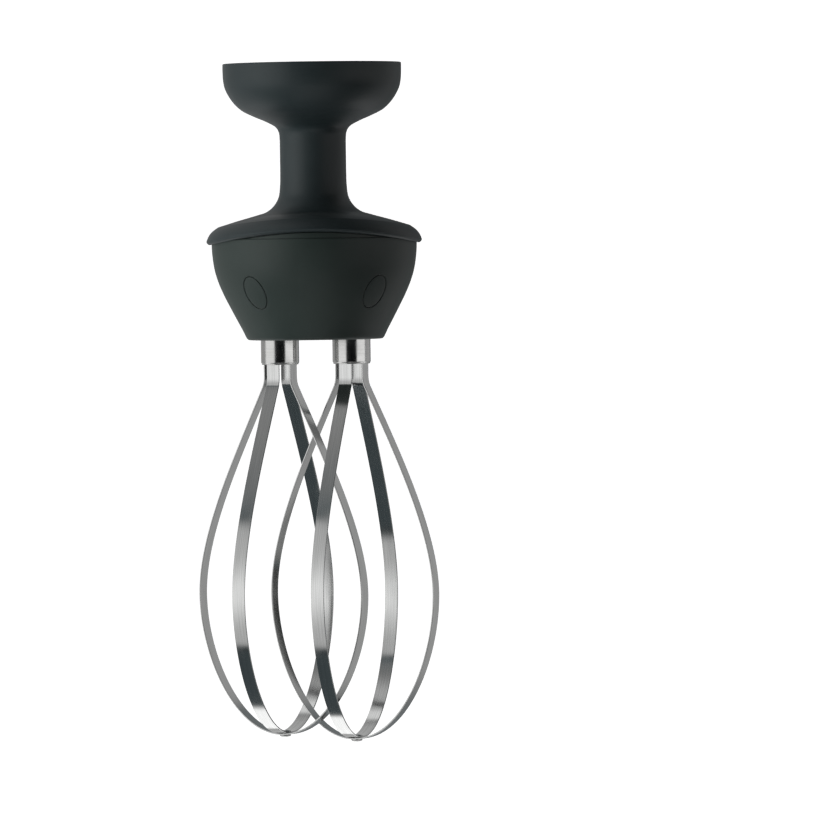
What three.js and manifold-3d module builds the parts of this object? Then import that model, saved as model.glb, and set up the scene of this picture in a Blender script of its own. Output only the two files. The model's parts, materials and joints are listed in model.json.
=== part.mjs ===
// Twin-whisk gearbox attachment of a hand-held mixer, standing upright with its whisks down.
// Millimetres, +Z up. The origin is the centre of the coupling cup's top rim plane.
import * as THREE from 'three';
import { mergeVertices } from 'three/addons/utils/BufferGeometryUtils.js';
import Module from 'manifold-3d';

const wasm = await Module();
wasm.setup();

// ---------------------------------------------------------------- driving dimensions

const GAP = 0.3; // between faces that touch on the real object
const TAU = Math.PI * 2;
const HOUSING_SIDES = 36;
const ROUND_SIDES = 20;
const SMALL_SIDES = 12;
const BUTTON_FACE_SIDES = 88; // the button's face is cut from a finer bowl than the wall

// Housing
const CUP_R = 35; // outer radius of the cup that takes the motor unit
const CUP_WALL = 3;
const NECK_R = 13;
const RIM_R = 42.2; // overhanging rim of the shoulder
const RIM_LIFT = 4.7; // how far the rim's lip arches up at the front and back
const CROWN_LIFT = 3.1; // the shoulder's crown arches up a little less
const CROWN_Z = -65.3; // between these two levels the lift grows from crown to lip
const LIP_Z = -70.8;
const LIFT_START_R = 16; // the arch fades out towards the neck
const LIFT_FULL_R = 36.5;
const SHOULDER_TOP = -50;
const CUP_FLOOR = -22;
const LEDGE_Z = -66.8; // where the gasket bears under the rim
const LEDGE_INNER_R = 37;
const BOWL_R = 40.2;
const SPIGOT_R = 39.7; // the bowl's inset top edge, under the rim
const LEDGE_OUTER_R = SPIGOT_R + 0.4;
const LIP_INNER_R = BOWL_R + 0.4;
const SPIGOT_TOP = -68.1;
const BOWL_STEP = -68.6;
const BOWL_BOTTOM = -108.2;
const BOWL_BASE_R = 26.9;
const BOWL_WALL = 2.4;
const FLOOR_TOP = BOWL_BOTTOM + 2.8;

// Outer radius of the bowl at each level, from its base edge up to the spigot.
const BOWL_PROFILE = [
  [BOWL_BASE_R - 0.7, BOWL_BOTTOM],
  [BOWL_BASE_R, -107.6],
  [28.5, -104.4],
  [30.9, -99.7],
  [33.35, -95],
  [35.7, -90.3],
  [37.7, -85.5],
  [39.1, -80.8],
  [39.9, -76.1],
  [BOWL_R, -72.4],
  [BOWL_R, BOWL_STEP],
  [SPIGOT_R, BOWL_STEP],
  [SPIGOT_R, SPIGOT_TOP],
];

// Input shaft with its bearings and seal
const DRIVE_SHAFT_R = 2.5;
const COUPLING_TOP = -9;
const BEARING_R = 8;
const BEARING_BORE_R = DRIVE_SHAFT_R + GAP;
const BEARING_WIDTH = 5;
const BEARING_SEAT_R = BEARING_R + GAP;
const BEARING_STEP_R = 6.6; // the step that each bearing rests against
const UPPER_BEARING_TOP = -27;
const LOWER_BEARING_TOP = -48;
const SEAL_TOP = -22.6;
const SEAL_BOTTOM = -26.2;

// Gear train: modules, teeth and levels
const WHISK_SPACING = 28;
const SPINDLE_X = WHISK_SPACING / 2;
const FAST_MODULE = 0.8;
const FAST_PINION_TEETH = 12;
const FAST_WHEEL_TEETH = 33;
const SLOW_MODULE = 1;
const SLOW_PINION_TEETH = 12;
const SPINDLE_TEETH = 28;
const PRESSURE_ANGLE = THREE.MathUtils.degToRad(25);
const BACKLASH = 0.24; // taken off each tooth's thickness
const FAST_GEAR_BOTTOM = -74.4;
const FAST_GEAR_TOP = -69.4;
const SLOW_GEAR_BOTTOM = -92;
const SLOW_GEAR_TOP = -84;

// The countershaft stands one centre distance from the input shaft and one from the left spindle.
const INPUT_CENTRES = (FAST_MODULE * (FAST_PINION_TEETH + FAST_WHEEL_TEETH)) / 2;
const SPINDLE_CENTRES = (SLOW_MODULE * (SLOW_PINION_TEETH + SPINDLE_TEETH)) / 2;
const COUNTER_X =
  (SPINDLE_CENTRES ** 2 - INPUT_CENTRES ** 2 - SPINDLE_X ** 2) / WHISK_SPACING;
const COUNTER_Y = Math.sqrt(INPUT_CENTRES ** 2 - COUNTER_X ** 2);

// Countershaft pin, spindles and their bushes
const PIN_R = 2.5;
const PIN_BOSS_R = 5;
const PIN_BOSS_TOP = -93;
const SPINDLE_R = 4.5;
const SPINDLE_TOP = -75.2;
const SPINDLE_BOTTOM = -107.8;
const JOURNAL_R = 3.4; // the spindle's upper end, in the gear plate's bush
const JOURNAL_BOTTOM = -83.6;
const CLIP_GROOVE_R = 2.8;
const CLIP_GROOVE_BOTTOM = -76.6;
const CLIP_GROOVE_TOP = -75.8;
const PLATE_BUSH_R = 5.6;
const BUSH_R = 6.4;
const BUSH_BOSS_R = 9;
const LOWER_BUSH_TOP = -98.4;
const LOWER_BUSH_BOTTOM = -105;

// Gear plate and its posts
const PLATE_TOP = -77;
const PLATE_BOTTOM = -80;
const PLATE_R = 36.2;
const POST_ANGLES = [-110, -70, 60, 125].map(THREE.MathUtils.degToRad);
const POST_RING_R = 30;
const POST_SPOTS = POST_ANGLES.map((angle) => [
  POST_RING_R * Math.cos(angle),
  POST_RING_R * Math.sin(angle),
]);
const POST_R = 3;
const POST_BORE_R = 1.3;
const POST_BOTTOM = -93;

// Screws that pull the bowl up to the shoulder: place and boss radius
const HOUSING_SCREWS = { front: [0, -21.5, 4], rear: [13.2, 18.3, 3.1] };
const SCREW_BORE_R = 1.6;
const SCREW_POCKET_R = 3.1;
const SCREW_POCKET_TOP = -106;

// Whisks
const FERRULE_R = 7.5;
const FERRULE_WALL = 0.65;
const FERRULE_TOP = BOWL_BOTTOM - GAP;
const FERRULE_BOTTOM = -117.9;
const STEM_R = 3; // to the corners of the whisk's hexagonal stem
const STEM_TOP = -96;
const PLUG_R = 5.1;
const BAND_WIDTH = 5.5;
const BAND_THICK = 0.55;
const BAND_ROOT_R = 5.7; // where a rib stands inside the ferrule
const BEND_Z = -126.7;
const BEND_R = 6.5;
const FLARE = THREE.MathUtils.degToRad(25.5); // from the vertical, below the bend
const WIDE_Z = -207.8;
const RIVET_HOLE_R = 1.5;

// The right whisk is a little slimmer and longer than the left one.
const WHISKS = {
  left: { wideR: 36.1, bottom: -262.7, phase: THREE.MathUtils.degToRad(28.6) },
  right: { wideR: 34.8, bottom: -264.9, phase: THREE.MathUtils.degToRad(25) },
};

// Release buttons
const BUTTON_AZIMUTH = THREE.MathUtils.degToRad(40.5); // from the front, to each side
const BUTTON_Z = -89.5;
const BUTTON_R = 36; // radius of the bowl wall at the button's level
const BUTTON_LONG = 12.6; // its height, seen from straight outside
const BUTTON_SHORT = 9.6;
const BUTTON_TILT = THREE.MathUtils.degToRad(15);
const BUTTON_GROOVE = 0.35;
const BUTTON_TRAVEL = 2;
const LATCH_TOP = -93;
const LATCH_BOTTOM = -95.2;
const LATCH_HEEL_R = 26.8;
const SPRING_OUTER_R = 21; // the spring lies between these two radii, under the latch slide
const SPRING_INNER_R = 14;
const SPRING_R = 1.9;
const SPRING_WIRE = 0.45;
const SPRING_Z = LATCH_BOTTOM - 2.8;
const SPRING_TURNS = 3;
const SPRING_STOP_R = 2;
const SPRING_STOP_TOP = SPRING_Z + 2.4;

// ---------------------------------------------------------------- shape helpers

// A solid from any closed geometry: shared corners merged, collapsed triangles dropped.
function solid(geometry) {
  const bare = geometry.clone();
  bare.deleteAttribute('normal');
  bare.deleteAttribute('uv');
  const merged = mergeVertices(bare, 1e-4);
  const corners = merged.index.array;
  const kept = [];
  for (let i = 0; i < corners.length; i += 3) {
    const [a, b, c] = corners.slice(i, i + 3);
    if (a !== b && b !== c && c !== a) kept.push(a, b, c);
  }
  const vertProperties = new Float32Array(merged.getAttribute('position').array);
  const triVerts = new Uint32Array(kept);
  return new wasm.Manifold(new wasm.Mesh({ numProp: 3, vertProperties, triVerts }));
}

function geometryOf(manifold) {
  const mesh = manifold.getMesh();
  const geometry = new THREE.BufferGeometry();
  geometry.setAttribute('position', new THREE.BufferAttribute(mesh.vertProperties, 3));
  geometry.setIndex(new THREE.BufferAttribute(mesh.triVerts, 1));
  geometry.computeVertexNormals();
  return geometry;
}

function join(first, ...others) {
  return others.reduce((sum, next) => sum.add(next), first);
}

function cut(first, ...others) {
  return others.reduce((rest, next) => rest.subtract(next), first);
}

// A turned solid about the Z axis. The profile holds [radius, z] pairs, anticlockwise.
function turned(profile, segments = ROUND_SIDES) {
  const points = profile.map(([r, z]) => new THREE.Vector2(r, z));
  points.push(points[0].clone());
  const geometry = new THREE.LatheGeometry(points, segments);
  geometry.rotateX(Math.PI / 2);
  return geometry;
}

function rod(radius, bottom, top, segments = ROUND_SIDES) {
  return solid(turned([[0, bottom], [radius, bottom], [radius, top], [0, top]], segments));
}

function tube(outer, inner, bottom, top, segments = ROUND_SIDES) {
  return solid(
    turned([[inner, bottom], [outer, bottom], [outer, top], [inner, top]], segments),
  );
}

function prism(shape, bottom, top, curveSegments = 12) {
  const geometry = new THREE.ExtrudeGeometry(shape, {
    depth: top - bottom,
    bevelEnabled: false,
    curveSegments,
  });
  geometry.translate(0, 0, bottom);
  return solid(geometry);
}

function at(manifold, x, y, z = 0) {
  return manifold.translate([x, y, z]);
}

function circleShape(radius, x = 0, y = 0) {
  const shape = new THREE.Shape();
  shape.absarc(x, y, radius, 0, TAU, false);
  return shape;
}

function polygonShape(sides, radius) {
  const corners = [];
  for (let i = 0; i < sides; i += 1) {
    const angle = (i * TAU) / sides;
    corners.push(new THREE.Vector2(radius * Math.cos(angle), radius * Math.sin(angle)));
  }
  return new THREE.Shape(corners);
}

// ---------------------------------------------------------------- materials

const looks = {
  plastic: new THREE.MeshStandardMaterial({ color: 0x2b2e2f, roughness: 0.55 }),
  innerPlastic: new THREE.MeshStandardMaterial({ color: 0x55585a, roughness: 0.6 }),
  nylon: new THREE.MeshStandardMaterial({ color: 0xd8d4c6, roughness: 0.5 }),
  rubber: new THREE.MeshStandardMaterial({ color: 0x1a1a1a, roughness: 0.9 }),
  steel: new THREE.MeshStandardMaterial({ color: 0xb9babb, roughness: 0.3, metalness: 1 }),
  bronze: new THREE.MeshStandardMaterial({ color: 0xa5824c, roughness: 0.45, metalness: 1 }),
};

function piece(name, manifold, look) {
  const mesh = new THREE.Mesh(geometryOf(manifold), looks[look]);
  mesh.name = name;
  return mesh;
}

// ---------------------------------------------------------------- housing

// How far a level of the rim is lifted at the front and back.
function liftAt(z) {
  const lipShare = THREE.MathUtils.smoothstep(-z, -CROWN_Z, -LIP_Z);
  return THREE.MathUtils.lerp(CROWN_LIFT, RIM_LIFT, lipShare);
}

// The shoulder and all that follows its rim arch up at the front and back.
function arched(geometry) {
  const position = geometry.getAttribute('position');
  const spot = new THREE.Vector3();
  for (let i = 0; i < position.count; i += 1) {
    spot.fromBufferAttribute(position, i);
    if (spot.z > SHOULDER_TOP) continue;
    const r = Math.hypot(spot.x, spot.y);
    if (r < LIFT_START_R) continue;
    const share = THREE.MathUtils.smoothstep(r, LIFT_START_R, LIFT_FULL_R);
    position.setZ(i, spot.z + liftAt(spot.z) * share * (spot.y / r) ** 2);
  }
  return geometry;
}

function upperHousing() {
  const outside = [
    [CUP_R - CUP_WALL, 0],
    [CUP_R - CUP_WALL, -9.8],
    [30, -12.8],
    [26, -16.9],
    [20, -19.6],
    [15.5, CUP_FLOOR],
    [BEARING_SEAT_R, CUP_FLOOR],
    [BEARING_SEAT_R, UPPER_BEARING_TOP - BEARING_WIDTH - GAP],
    [BEARING_STEP_R, UPPER_BEARING_TOP - BEARING_WIDTH - GAP],
    [BEARING_STEP_R, -34],
    [9.6, -36],
    [9.6, -45],
    [BEARING_STEP_R, -46.4],
    [BEARING_STEP_R, LOWER_BEARING_TOP + GAP],
    [BEARING_SEAT_R, LOWER_BEARING_TOP + GAP],
    [BEARING_SEAT_R, -57],
    [10.5, -59.2],
    [22, -62],
    [30, -64.3],
    [LEDGE_INNER_R, LEDGE_Z],
    [LEDGE_OUTER_R, LEDGE_Z],
    [LEDGE_OUTER_R, -68.1],
    [LIP_INNER_R, -68.2],
    [LIP_INNER_R, LIP_Z],
    [41.25, LIP_Z],
    [42.05, -70],
    [RIM_R, -69.45],
    [41.95, -68.65],
    [41.35, -67.35],
    [40.5, -66.2],
    [39.5, -65.35],
    [37.6, -64.2],
    [30.1, -61.9],
    [22.1, -59.6],
    [17.6, -57.8],
    [14.4, -54],
    [NECK_R, -48],
    [NECK_R, -28.6],
    [14.4, -25.2],
    [17.9, -23],
    [25.2, -19.8],
    [29.6, -16.9],
    [32.6, -13],
    [34.3, -9.4],
    [CUP_R, -4.5],
    [CUP_R, 0],
  ];
  const shell = solid(arched(turned(outside, HOUSING_SIDES)));
  const [rearX, rearY, rearR] = HOUSING_SCREWS.rear;
  const [frontX, frontY, frontR] = HOUSING_SCREWS.front;
  const bosses = [
    at(rod(rearR, -76.4, -60.4), rearX, rearY),
    at(rod(frontR, -76.4, -60.4), frontX, frontY),
    at(rod(4.6, -68.2, -59.6), COUNTER_X, COUNTER_Y),
  ];
  const bores = [
    at(rod(SCREW_BORE_R, -77, -63.6, SMALL_SIDES), rearX, rearY),
    at(rod(SCREW_BORE_R, -77, -63.6, SMALL_SIDES), frontX, frontY),
    at(rod(PIN_R + GAP, -69, -64.2, SMALL_SIDES), COUNTER_X, COUNTER_Y),
  ];
  return cut(join(shell, ...bosses), ...bores);
}

function lowerHousing() {
  const holes = [...floorHoles()];
  for (const side of [-1, 1]) holes.push(buttonPlug(side, BUTTON_GROOVE, -9, 6));
  for (const [x, y] of POST_SPOTS) {
    holes.push(at(rod(POST_BORE_R, POST_BOTTOM + 2.7, PLATE_BOTTOM + 1, SMALL_SIDES), x, y));
  }
  return cut(join(bowlShell(), ...floorBosses(), ...platePosts()), ...holes);
}

// Bowl wall and floor, open at the top.
function bowlShell() {
  const walls = BOWL_PROFILE.slice(2).map(([r, z]) => [Math.min(r, SPIGOT_R) - BOWL_WALL, z]);
  const cavity = [[0, FLOOR_TOP], [25.6, FLOOR_TOP], ...walls, [0, SPIGOT_TOP]];
  const hollow = solid(archedSpigot(turned(cavity, HOUSING_SIDES)));
  const lid = solid(turned([[0, -64], [45, -64], [45, -60], [0, -60]], HOUSING_SIDES));
  return cut(bowlBlock(HOUSING_SIDES), hollow, lid);
}

// Bosses on the bowl's floor for the screws, the countershaft pin, the bushes and the springs.
function floorBosses() {
  const bosses = [
    [...HOUSING_SCREWS.front, PLATE_BOTTOM - GAP],
    [...HOUSING_SCREWS.rear, PLATE_BOTTOM - GAP],
    [COUNTER_X, COUNTER_Y, PIN_BOSS_R, PIN_BOSS_TOP],
  ];
  const stopR = SPRING_INNER_R - GAP - SPRING_STOP_R - SPRING_WIRE;
  for (const side of [-1, 1]) {
    const stop = inward(side).multiplyScalar(-stopR);
    bosses.push([side * SPINDLE_X, 0, BUSH_BOSS_R, LOWER_BUSH_TOP]);
    bosses.push([stop.x, stop.y, SPRING_STOP_R, SPRING_STOP_TOP]);
  }
  return bosses.map(([x, y, r, top]) => at(rod(r, FLOOR_TOP - 1, top), x, y));
}

// Screw bores with their head pockets, the pin's blind hole and the bushes' seats.
function floorHoles() {
  const below = BOWL_BOTTOM - 2;
  const holes = [at(rod(PIN_R + GAP, -100.3, -90, SMALL_SIDES), COUNTER_X, COUNTER_Y)];
  for (const [x, y] of Object.values(HOUSING_SCREWS)) {
    holes.push(at(rod(SCREW_BORE_R, below, -70, SMALL_SIDES), x, y));
    holes.push(at(rod(SCREW_POCKET_R, below, SCREW_POCKET_TOP), x, y));
  }
  for (const side of [-1, 1]) {
    holes.push(at(rod(BUSH_R + GAP, below, -90), side * SPINDLE_X, 0));
  }
  return holes;
}

// Posts that carry the gear plate, each with a web out to the bowl wall.
function platePosts() {
  const block = bowlBlock(HOUSING_SIDES);
  const posts = POST_SPOTS.map(([x, y]) =>
    at(rod(POST_R, POST_BOTTOM, PLATE_BOTTOM - GAP, SMALL_SIDES), x, y),
  );
  const webs = POST_ANGLES.map((angle) => {
    const web = new THREE.BoxGeometry(9, 2.4, 12);
    web.translate(POST_RING_R + 3.5, 0, -86.4);
    web.rotateZ(angle);
    return solid(web);
  });
  return [...posts, ...webs].map((rib) => rib.intersect(block));
}

// The bowl's outer shape, filled in.
function bowlBlock(sides) {
  const profile = [[0, BOWL_BOTTOM], ...BOWL_PROFILE, [0, SPIGOT_TOP]];
  return solid(archedSpigot(turned(profile, sides)));
}

// The bowl's spigot follows the arch, its step does not.
function archedSpigot(geometry) {
  const position = geometry.getAttribute('position');
  const spot = new THREE.Vector3();
  for (let i = 0; i < position.count; i += 1) {
    spot.fromBufferAttribute(position, i);
    if (spot.z < SPIGOT_TOP - 0.1) continue;
    const r = Math.hypot(spot.x, spot.y);
    if (r > 1) position.setZ(i, spot.z + liftAt(SPIGOT_TOP) * (spot.y / r) ** 2);
  }
  return geometry;
}

// Flat ring between the spigot's top and the rim's ledge.
function housingGasket() {
  const inner = LEDGE_INNER_R + 0.2;
  const bottom = SPIGOT_TOP + GAP;
  const top = LEDGE_Z - GAP;
  const ring = [[inner, bottom], [inner + 2, bottom], [inner + 2, top], [inner, top]];
  return solid(arched(turned(ring, HOUSING_SIDES)));
}

// Snap-in ring with three lugs that lock the motor unit into the cup.
function couplingRing() {
  const ring = tube(31.5, 29.6, -9.2, -4.2, HOUSING_SIDES);
  const lugs = [0, 1, 2].map((i) => {
    const lug = new THREE.BoxGeometry(3.4, 12, 2.4);
    lug.translate(28.6, 0, -6.7);
    lug.rotateZ(Math.PI / 2 + (i * TAU) / 3);
    return solid(lug);
  });
  const bore = tube(40, 31.5, -12, 0, HOUSING_SIDES);
  return cut(join(ring, ...lugs), bore);
}

function shaftSeal() {
  return solid(
    turned(
      [
        [BEARING_BORE_R, -25.2],
        [4.2, -26],
        [8, SEAL_BOTTOM],
        [8, SEAL_TOP],
        [6.6, SEAL_TOP],
        [6.2, -24.6],
        [3.6, -24.2],
        [BEARING_BORE_R, -23.4],
      ],
    ),
  );
}

// A shielded ball bearing as one ring, with the two races marked by grooves.
function bearing(top) {
  const bottom = top - BEARING_WIDTH;
  const half = top - BEARING_WIDTH / 2;
  return solid(
    turned(
      [
        [BEARING_BORE_R, bottom],
        [4, bottom],
        [4, half - 2.1],
        [6.6, half - 2.1],
        [6.6, bottom],
        [BEARING_R, bottom],
        [BEARING_R, top],
        [6.6, top],
        [6.6, half + 2.1],
        [4, half + 2.1],
        [4, top],
        [BEARING_BORE_R, top],
      ],
    ),
  );
}

// Open spring ring that holds the lower bearing in its seat.
function bearingCirclip() {
  const top = LOWER_BEARING_TOP - BEARING_WIDTH - GAP;
  const ring = tube(8, 6.8, top - 1, top);
  const mouth = new THREE.BoxGeometry(6, 3, 4);
  mouth.translate(0, -7.5, top);
  return cut(ring, solid(mouth));
}

function gearPlate() {
  const shape = circleShape(PLATE_R);
  const holes = [
    [0, 0, 7],
    [COUNTER_X, COUNTER_Y, 7.4],
    [-SPINDLE_X, 0, PLATE_BUSH_R + GAP],
    [SPINDLE_X, 0, PLATE_BUSH_R + GAP],
  ];
  for (const [x, y, r] of Object.values(HOUSING_SCREWS)) {
    holes.push([x, y, Math.min(r, SCREW_POCKET_R)]);
  }
  for (const [x, y] of POST_SPOTS) holes.push([x, y, SCREW_BORE_R]);
  for (const [x, y, r] of holes) shape.holes.push(circleShape(r, x, y));
  return prism(shape, PLATE_BOTTOM, PLATE_TOP, 9);
}

// A cap screw standing head up at the origin: shank below zero, head above.
function capScrew(shank, head, length, headHeight) {
  const body = solid(
    turned(
      [[0, -length], [shank, -length], [shank, 0], [head, 0], [head, headHeight], [0, headHeight]],
    ),
  );
  return cut(body, prism(polygonShape(6, head * 0.5), headHeight * 0.4, headHeight + 1));
}

function spindleSeal() {
  return tube(BUSH_R, SPINDLE_R + 0.4, SPINDLE_BOTTOM, FLOOR_TOP);
}

// ---------------------------------------------------------------- gears

// Involute spur gear outline. The first tooth points along +X, turned by the given angle.
function gearShape(teeth, module, turn = 0) {
  const pitch = (module * teeth) / 2;
  const base = pitch * Math.cos(PRESSURE_ANGLE);
  const tip = pitch + 0.8 * module;
  const root = pitch - 1.05 * module;
  const involute = (angle) => Math.tan(angle) - angle;
  const halfTooth = (module * Math.PI * 0.5 - BACKLASH) / (2 * pitch);
  const halfAt = (r) => {
    const angle = Math.acos(Math.min(1, base / r));
    return halfTooth + involute(PRESSURE_ANGLE) - involute(angle);
  };
  const start = Math.max(base, root) + 0.02;
  const points = [];
  for (let i = 0; i < teeth; i += 1) {
    const centre = turn + (i * TAU) / teeth;
    const polar = (r, angle) =>
      points.push(new THREE.Vector2(r * Math.cos(angle), r * Math.sin(angle)));
    polar(root, centre - halfAt(start));
    polar(start, centre - halfAt(start));
    polar(tip, centre - halfAt(tip));
    polar(tip, centre + halfAt(tip));
    polar(start, centre + halfAt(start));
    polar(root, centre + halfAt(start));
  }
  return new THREE.Shape(points);
}

function boredGear(teeth, module, turn, bore, bottom, top) {
  const shape = gearShape(teeth, module, turn);
  shape.holes.push(circleShape(bore));
  return prism(shape, bottom, top, 6);
}

// The turn that puts a follower's tooth gap on the line of centres where a driver's tooth stands.
function meshTurn(driverTeeth, driverTurn, teeth, direction) {
  const driverPhase = ((direction - driverTurn) * driverTeeth) / TAU;
  const followerPhase = 0.5 - driverPhase;
  return direction + Math.PI - (followerPhase * TAU) / teeth;
}

const LEFT_GEAR_TURN = 0;
const RIGHT_GEAR_TURN = meshTurn(SPINDLE_TEETH, LEFT_GEAR_TURN, SPINDLE_TEETH, 0);
const SLOW_DIRECTION = Math.atan2(COUNTER_Y, COUNTER_X + SPINDLE_X);
const SLOW_PINION_TURN = meshTurn(
  SPINDLE_TEETH,
  LEFT_GEAR_TURN,
  SLOW_PINION_TEETH,
  SLOW_DIRECTION,
);
const FAST_DIRECTION = Math.atan2(-COUNTER_Y, -COUNTER_X);
const FAST_PINION_TURN = meshTurn(FAST_WHEEL_TEETH, 0, FAST_PINION_TEETH, FAST_DIRECTION);

// ---------------------------------------------------------------- drive line

// Splined socket that the motor's spindle drops into.
function driveCoupling() {
  const body = solid(
    turned(
      [
        [0, -21.4],
        [5.4, -21.4],
        [5.4, -20.2],
        [7.6, -19.2],
        [7.6, COUPLING_TOP - 0.8],
        [6.8, COUPLING_TOP],
        [0, COUPLING_TOP],
      ],
    ),
  );
  const socket = prism(gearShape(8, 1.15, 0), -17.6, -8, 6);
  const bore = rod(DRIVE_SHAFT_R + GAP, -22, -18.4);
  const vent = rod(0.8, -19, -17, SMALL_SIDES);
  return cut(body, socket, bore, vent);
}

function driveShaft() {
  return rod(DRIVE_SHAFT_R, -76.2, -18.8);
}

function drivePinion() {
  return boredGear(
    FAST_PINION_TEETH,
    FAST_MODULE,
    FAST_PINION_TURN,
    DRIVE_SHAFT_R + GAP,
    FAST_GEAR_BOTTOM,
    FAST_GEAR_TOP,
  );
}

// ---------------------------------------------------------------- countershaft

function reductionWheel() {
  const wheel = boredGear(
    FAST_WHEEL_TEETH,
    FAST_MODULE,
    0,
    PIN_R + GAP,
    FAST_GEAR_BOTTOM,
    FAST_GEAR_TOP,
  );
  const recess = tube(11.2, 6.2, FAST_GEAR_TOP - 1.4, FAST_GEAR_TOP + 1, 28);
  return cut(wheel, recess);
}

// Small gear with a long hub that carries the wheel above the gear plate.
function reductionPinion() {
  const teeth = prism(
    gearShape(SLOW_PINION_TEETH, SLOW_MODULE, SLOW_PINION_TURN),
    SLOW_GEAR_BOTTOM,
    SLOW_GEAR_TOP,
  );
  const hub = rod(4.6, SLOW_GEAR_TOP - 1, FAST_GEAR_BOTTOM - GAP);
  const bore = rod(PIN_R + GAP, -93, -73);
  return cut(join(teeth, hub), bore);
}

// ---------------------------------------------------------------- spindles and whisks

// Hollow spindle: gear seat, journal with a clip groove, and a hexagonal socket from below.
function spindle() {
  const body = solid(
    turned(
      [
        [0, SPINDLE_BOTTOM],
        [SPINDLE_R, SPINDLE_BOTTOM],
        [SPINDLE_R, JOURNAL_BOTTOM],
        [JOURNAL_R, JOURNAL_BOTTOM],
        [JOURNAL_R, CLIP_GROOVE_BOTTOM],
        [CLIP_GROOVE_R, CLIP_GROOVE_BOTTOM],
        [CLIP_GROOVE_R, CLIP_GROOVE_TOP],
        [JOURNAL_R, CLIP_GROOVE_TOP],
        [JOURNAL_R, SPINDLE_TOP],
        [0, SPINDLE_TOP],
      ],
    ),
  );
  return cut(body, prism(polygonShape(6, STEM_R + 0.4), SPINDLE_BOTTOM - 1, STEM_TOP + 1.2));
}

function spindleClip() {
  const ring = tube(5.4, CLIP_GROOVE_R + GAP, CLIP_GROOVE_BOTTOM + 0.05, CLIP_GROOVE_TOP - 0.05);
  const mouth = new THREE.BoxGeometry(4.4, 6, 3);
  mouth.translate(0, -3, -76.2);
  return cut(ring, solid(mouth));
}

function ferrule() {
  const inner = FERRULE_R - FERRULE_WALL;
  return solid(
    turned(
      [
        [3.4, FERRULE_TOP - 0.8],
        [inner, FERRULE_TOP - 0.8],
        [inner, FERRULE_BOTTOM],
        [FERRULE_R - 0.2, FERRULE_BOTTOM],
        [FERRULE_R, FERRULE_BOTTOM + 0.3],
        [FERRULE_R, FERRULE_TOP - 0.3],
        [FERRULE_R - 0.3, FERRULE_TOP],
        [3.4, FERRULE_TOP],
      ],
      32,
    ),
  );
}

// Hexagonal stem with the round plug that the ribs are clamped against.
function whiskStem() {
  const plug = rod(PLUG_R, FERRULE_BOTTOM + 0.6, FERRULE_TOP - 1.2);
  const stem = prism(polygonShape(6, STEM_R), FERRULE_TOP - 2, STEM_TOP);
  return join(plug, stem);
}

// Centre line of one rib as (radius, z), from the ferrule down to the whisk's bottom.
function ribLine(wideR, bottomZ) {
  const vector = (r, z) => new THREE.Vector2(r, z);
  const flare = vector(Math.sin(FLARE), -Math.cos(FLARE));
  const bend = vector(BEND_R, BEND_Z);
  const root = new THREE.QuadraticBezierCurve(
    vector(BAND_ROOT_R, BEND_Z + 4.2),
    vector(BAND_ROOT_R, BEND_Z + 1.9),
    bend,
  );
  const upper = new THREE.CubicBezierCurve(
    bend,
    bend.clone().addScaledVector(flare, 28.2),
    vector(wideR, WIDE_Z + 24),
    vector(wideR, WIDE_Z),
  );
  const lower = new THREE.CubicBezierCurve(
    vector(wideR, WIDE_Z),
    vector(wideR, WIDE_Z - 25.2),
    vector(20.8, bottomZ),
    vector(0, bottomZ),
  );
  return [
    vector(BAND_ROOT_R, FERRULE_TOP - 1.2),
    ...root.getPoints(3),
    ...upper.getPoints(9).slice(1),
    ...lower.getPoints(15).slice(1),
  ];
}

// A flat strip bent through two opposite ribs, with the rivet hole at its lowest point.
function band(wideR, bottomZ) {
  const half = ribLine(wideR, bottomZ);
  const line = [...half, ...half.slice(0, -1).reverse().map((p) => new THREE.Vector2(-p.x, p.y))];
  const outer = [];
  const inner = [];
  line.forEach((point, i) => {
    const before = line[Math.max(0, i - 1)];
    const after = line[Math.min(line.length - 1, i + 1)];
    const along = after.clone().sub(before).normalize();
    const normal = new THREE.Vector2(-along.y, along.x).multiplyScalar(BAND_THICK / 2);
    outer.push(point.clone().add(normal));
    inner.push(point.clone().sub(normal));
  });
  const outline = new THREE.Shape([...outer, ...inner.reverse()]);
  const strip = new THREE.ExtrudeGeometry(outline, { depth: BAND_WIDTH, bevelEnabled: false });
  strip.translate(0, 0, -BAND_WIDTH / 2);
  strip.rotateX(Math.PI / 2);
  return cut(solid(strip), rod(RIVET_HOLE_R, bottomZ - 3, bottomZ + 3, SMALL_SIDES));
}

// Rivet through both bands, with a low domed head at each end.
function rivet(bottomZ) {
  const low = bottomZ - BAND_THICK / 2 - GAP;
  const high = bottomZ + 1.5 * BAND_THICK + 2 * GAP;
  return solid(
    turned(
      [
        [0, low - 0.9],
        [1.3, low - 0.7],
        [2.2, low],
        [1.2, low],
        [1.2, high],
        [2.2, high],
        [1.3, high + 0.6],
        [0, high + 0.8],
      ],
    ),
  );
}

// ---------------------------------------------------------------- release buttons

// Places a solid made about the origin, with +Z level and outwards, on the bowl wall at a button.
function onBowl(manifold, side) {
  const matrix = new THREE.Matrix4()
    .makeRotationZ(side * BUTTON_AZIMUTH - Math.PI / 2)
    .multiply(new THREE.Matrix4().makeTranslation(BUTTON_R, 0, BUTTON_Z))
    .multiply(new THREE.Matrix4().makeRotationY(Math.PI / 2))
    .multiply(new THREE.Matrix4().makeRotationZ(side * BUTTON_TILT));
  return manifold.transform(matrix.elements);
}

function ovalShape(grow) {
  const shape = new THREE.Shape();
  shape.absellipse(0, 0, BUTTON_LONG / 2 + grow, BUTTON_SHORT / 2 + grow, 0, TAU, false, 0);
  return shape;
}

function buttonPlug(side, grow, inside, outside) {
  return onBowl(prism(ovalShape(grow), inside, outside, 9), side);
}

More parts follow.
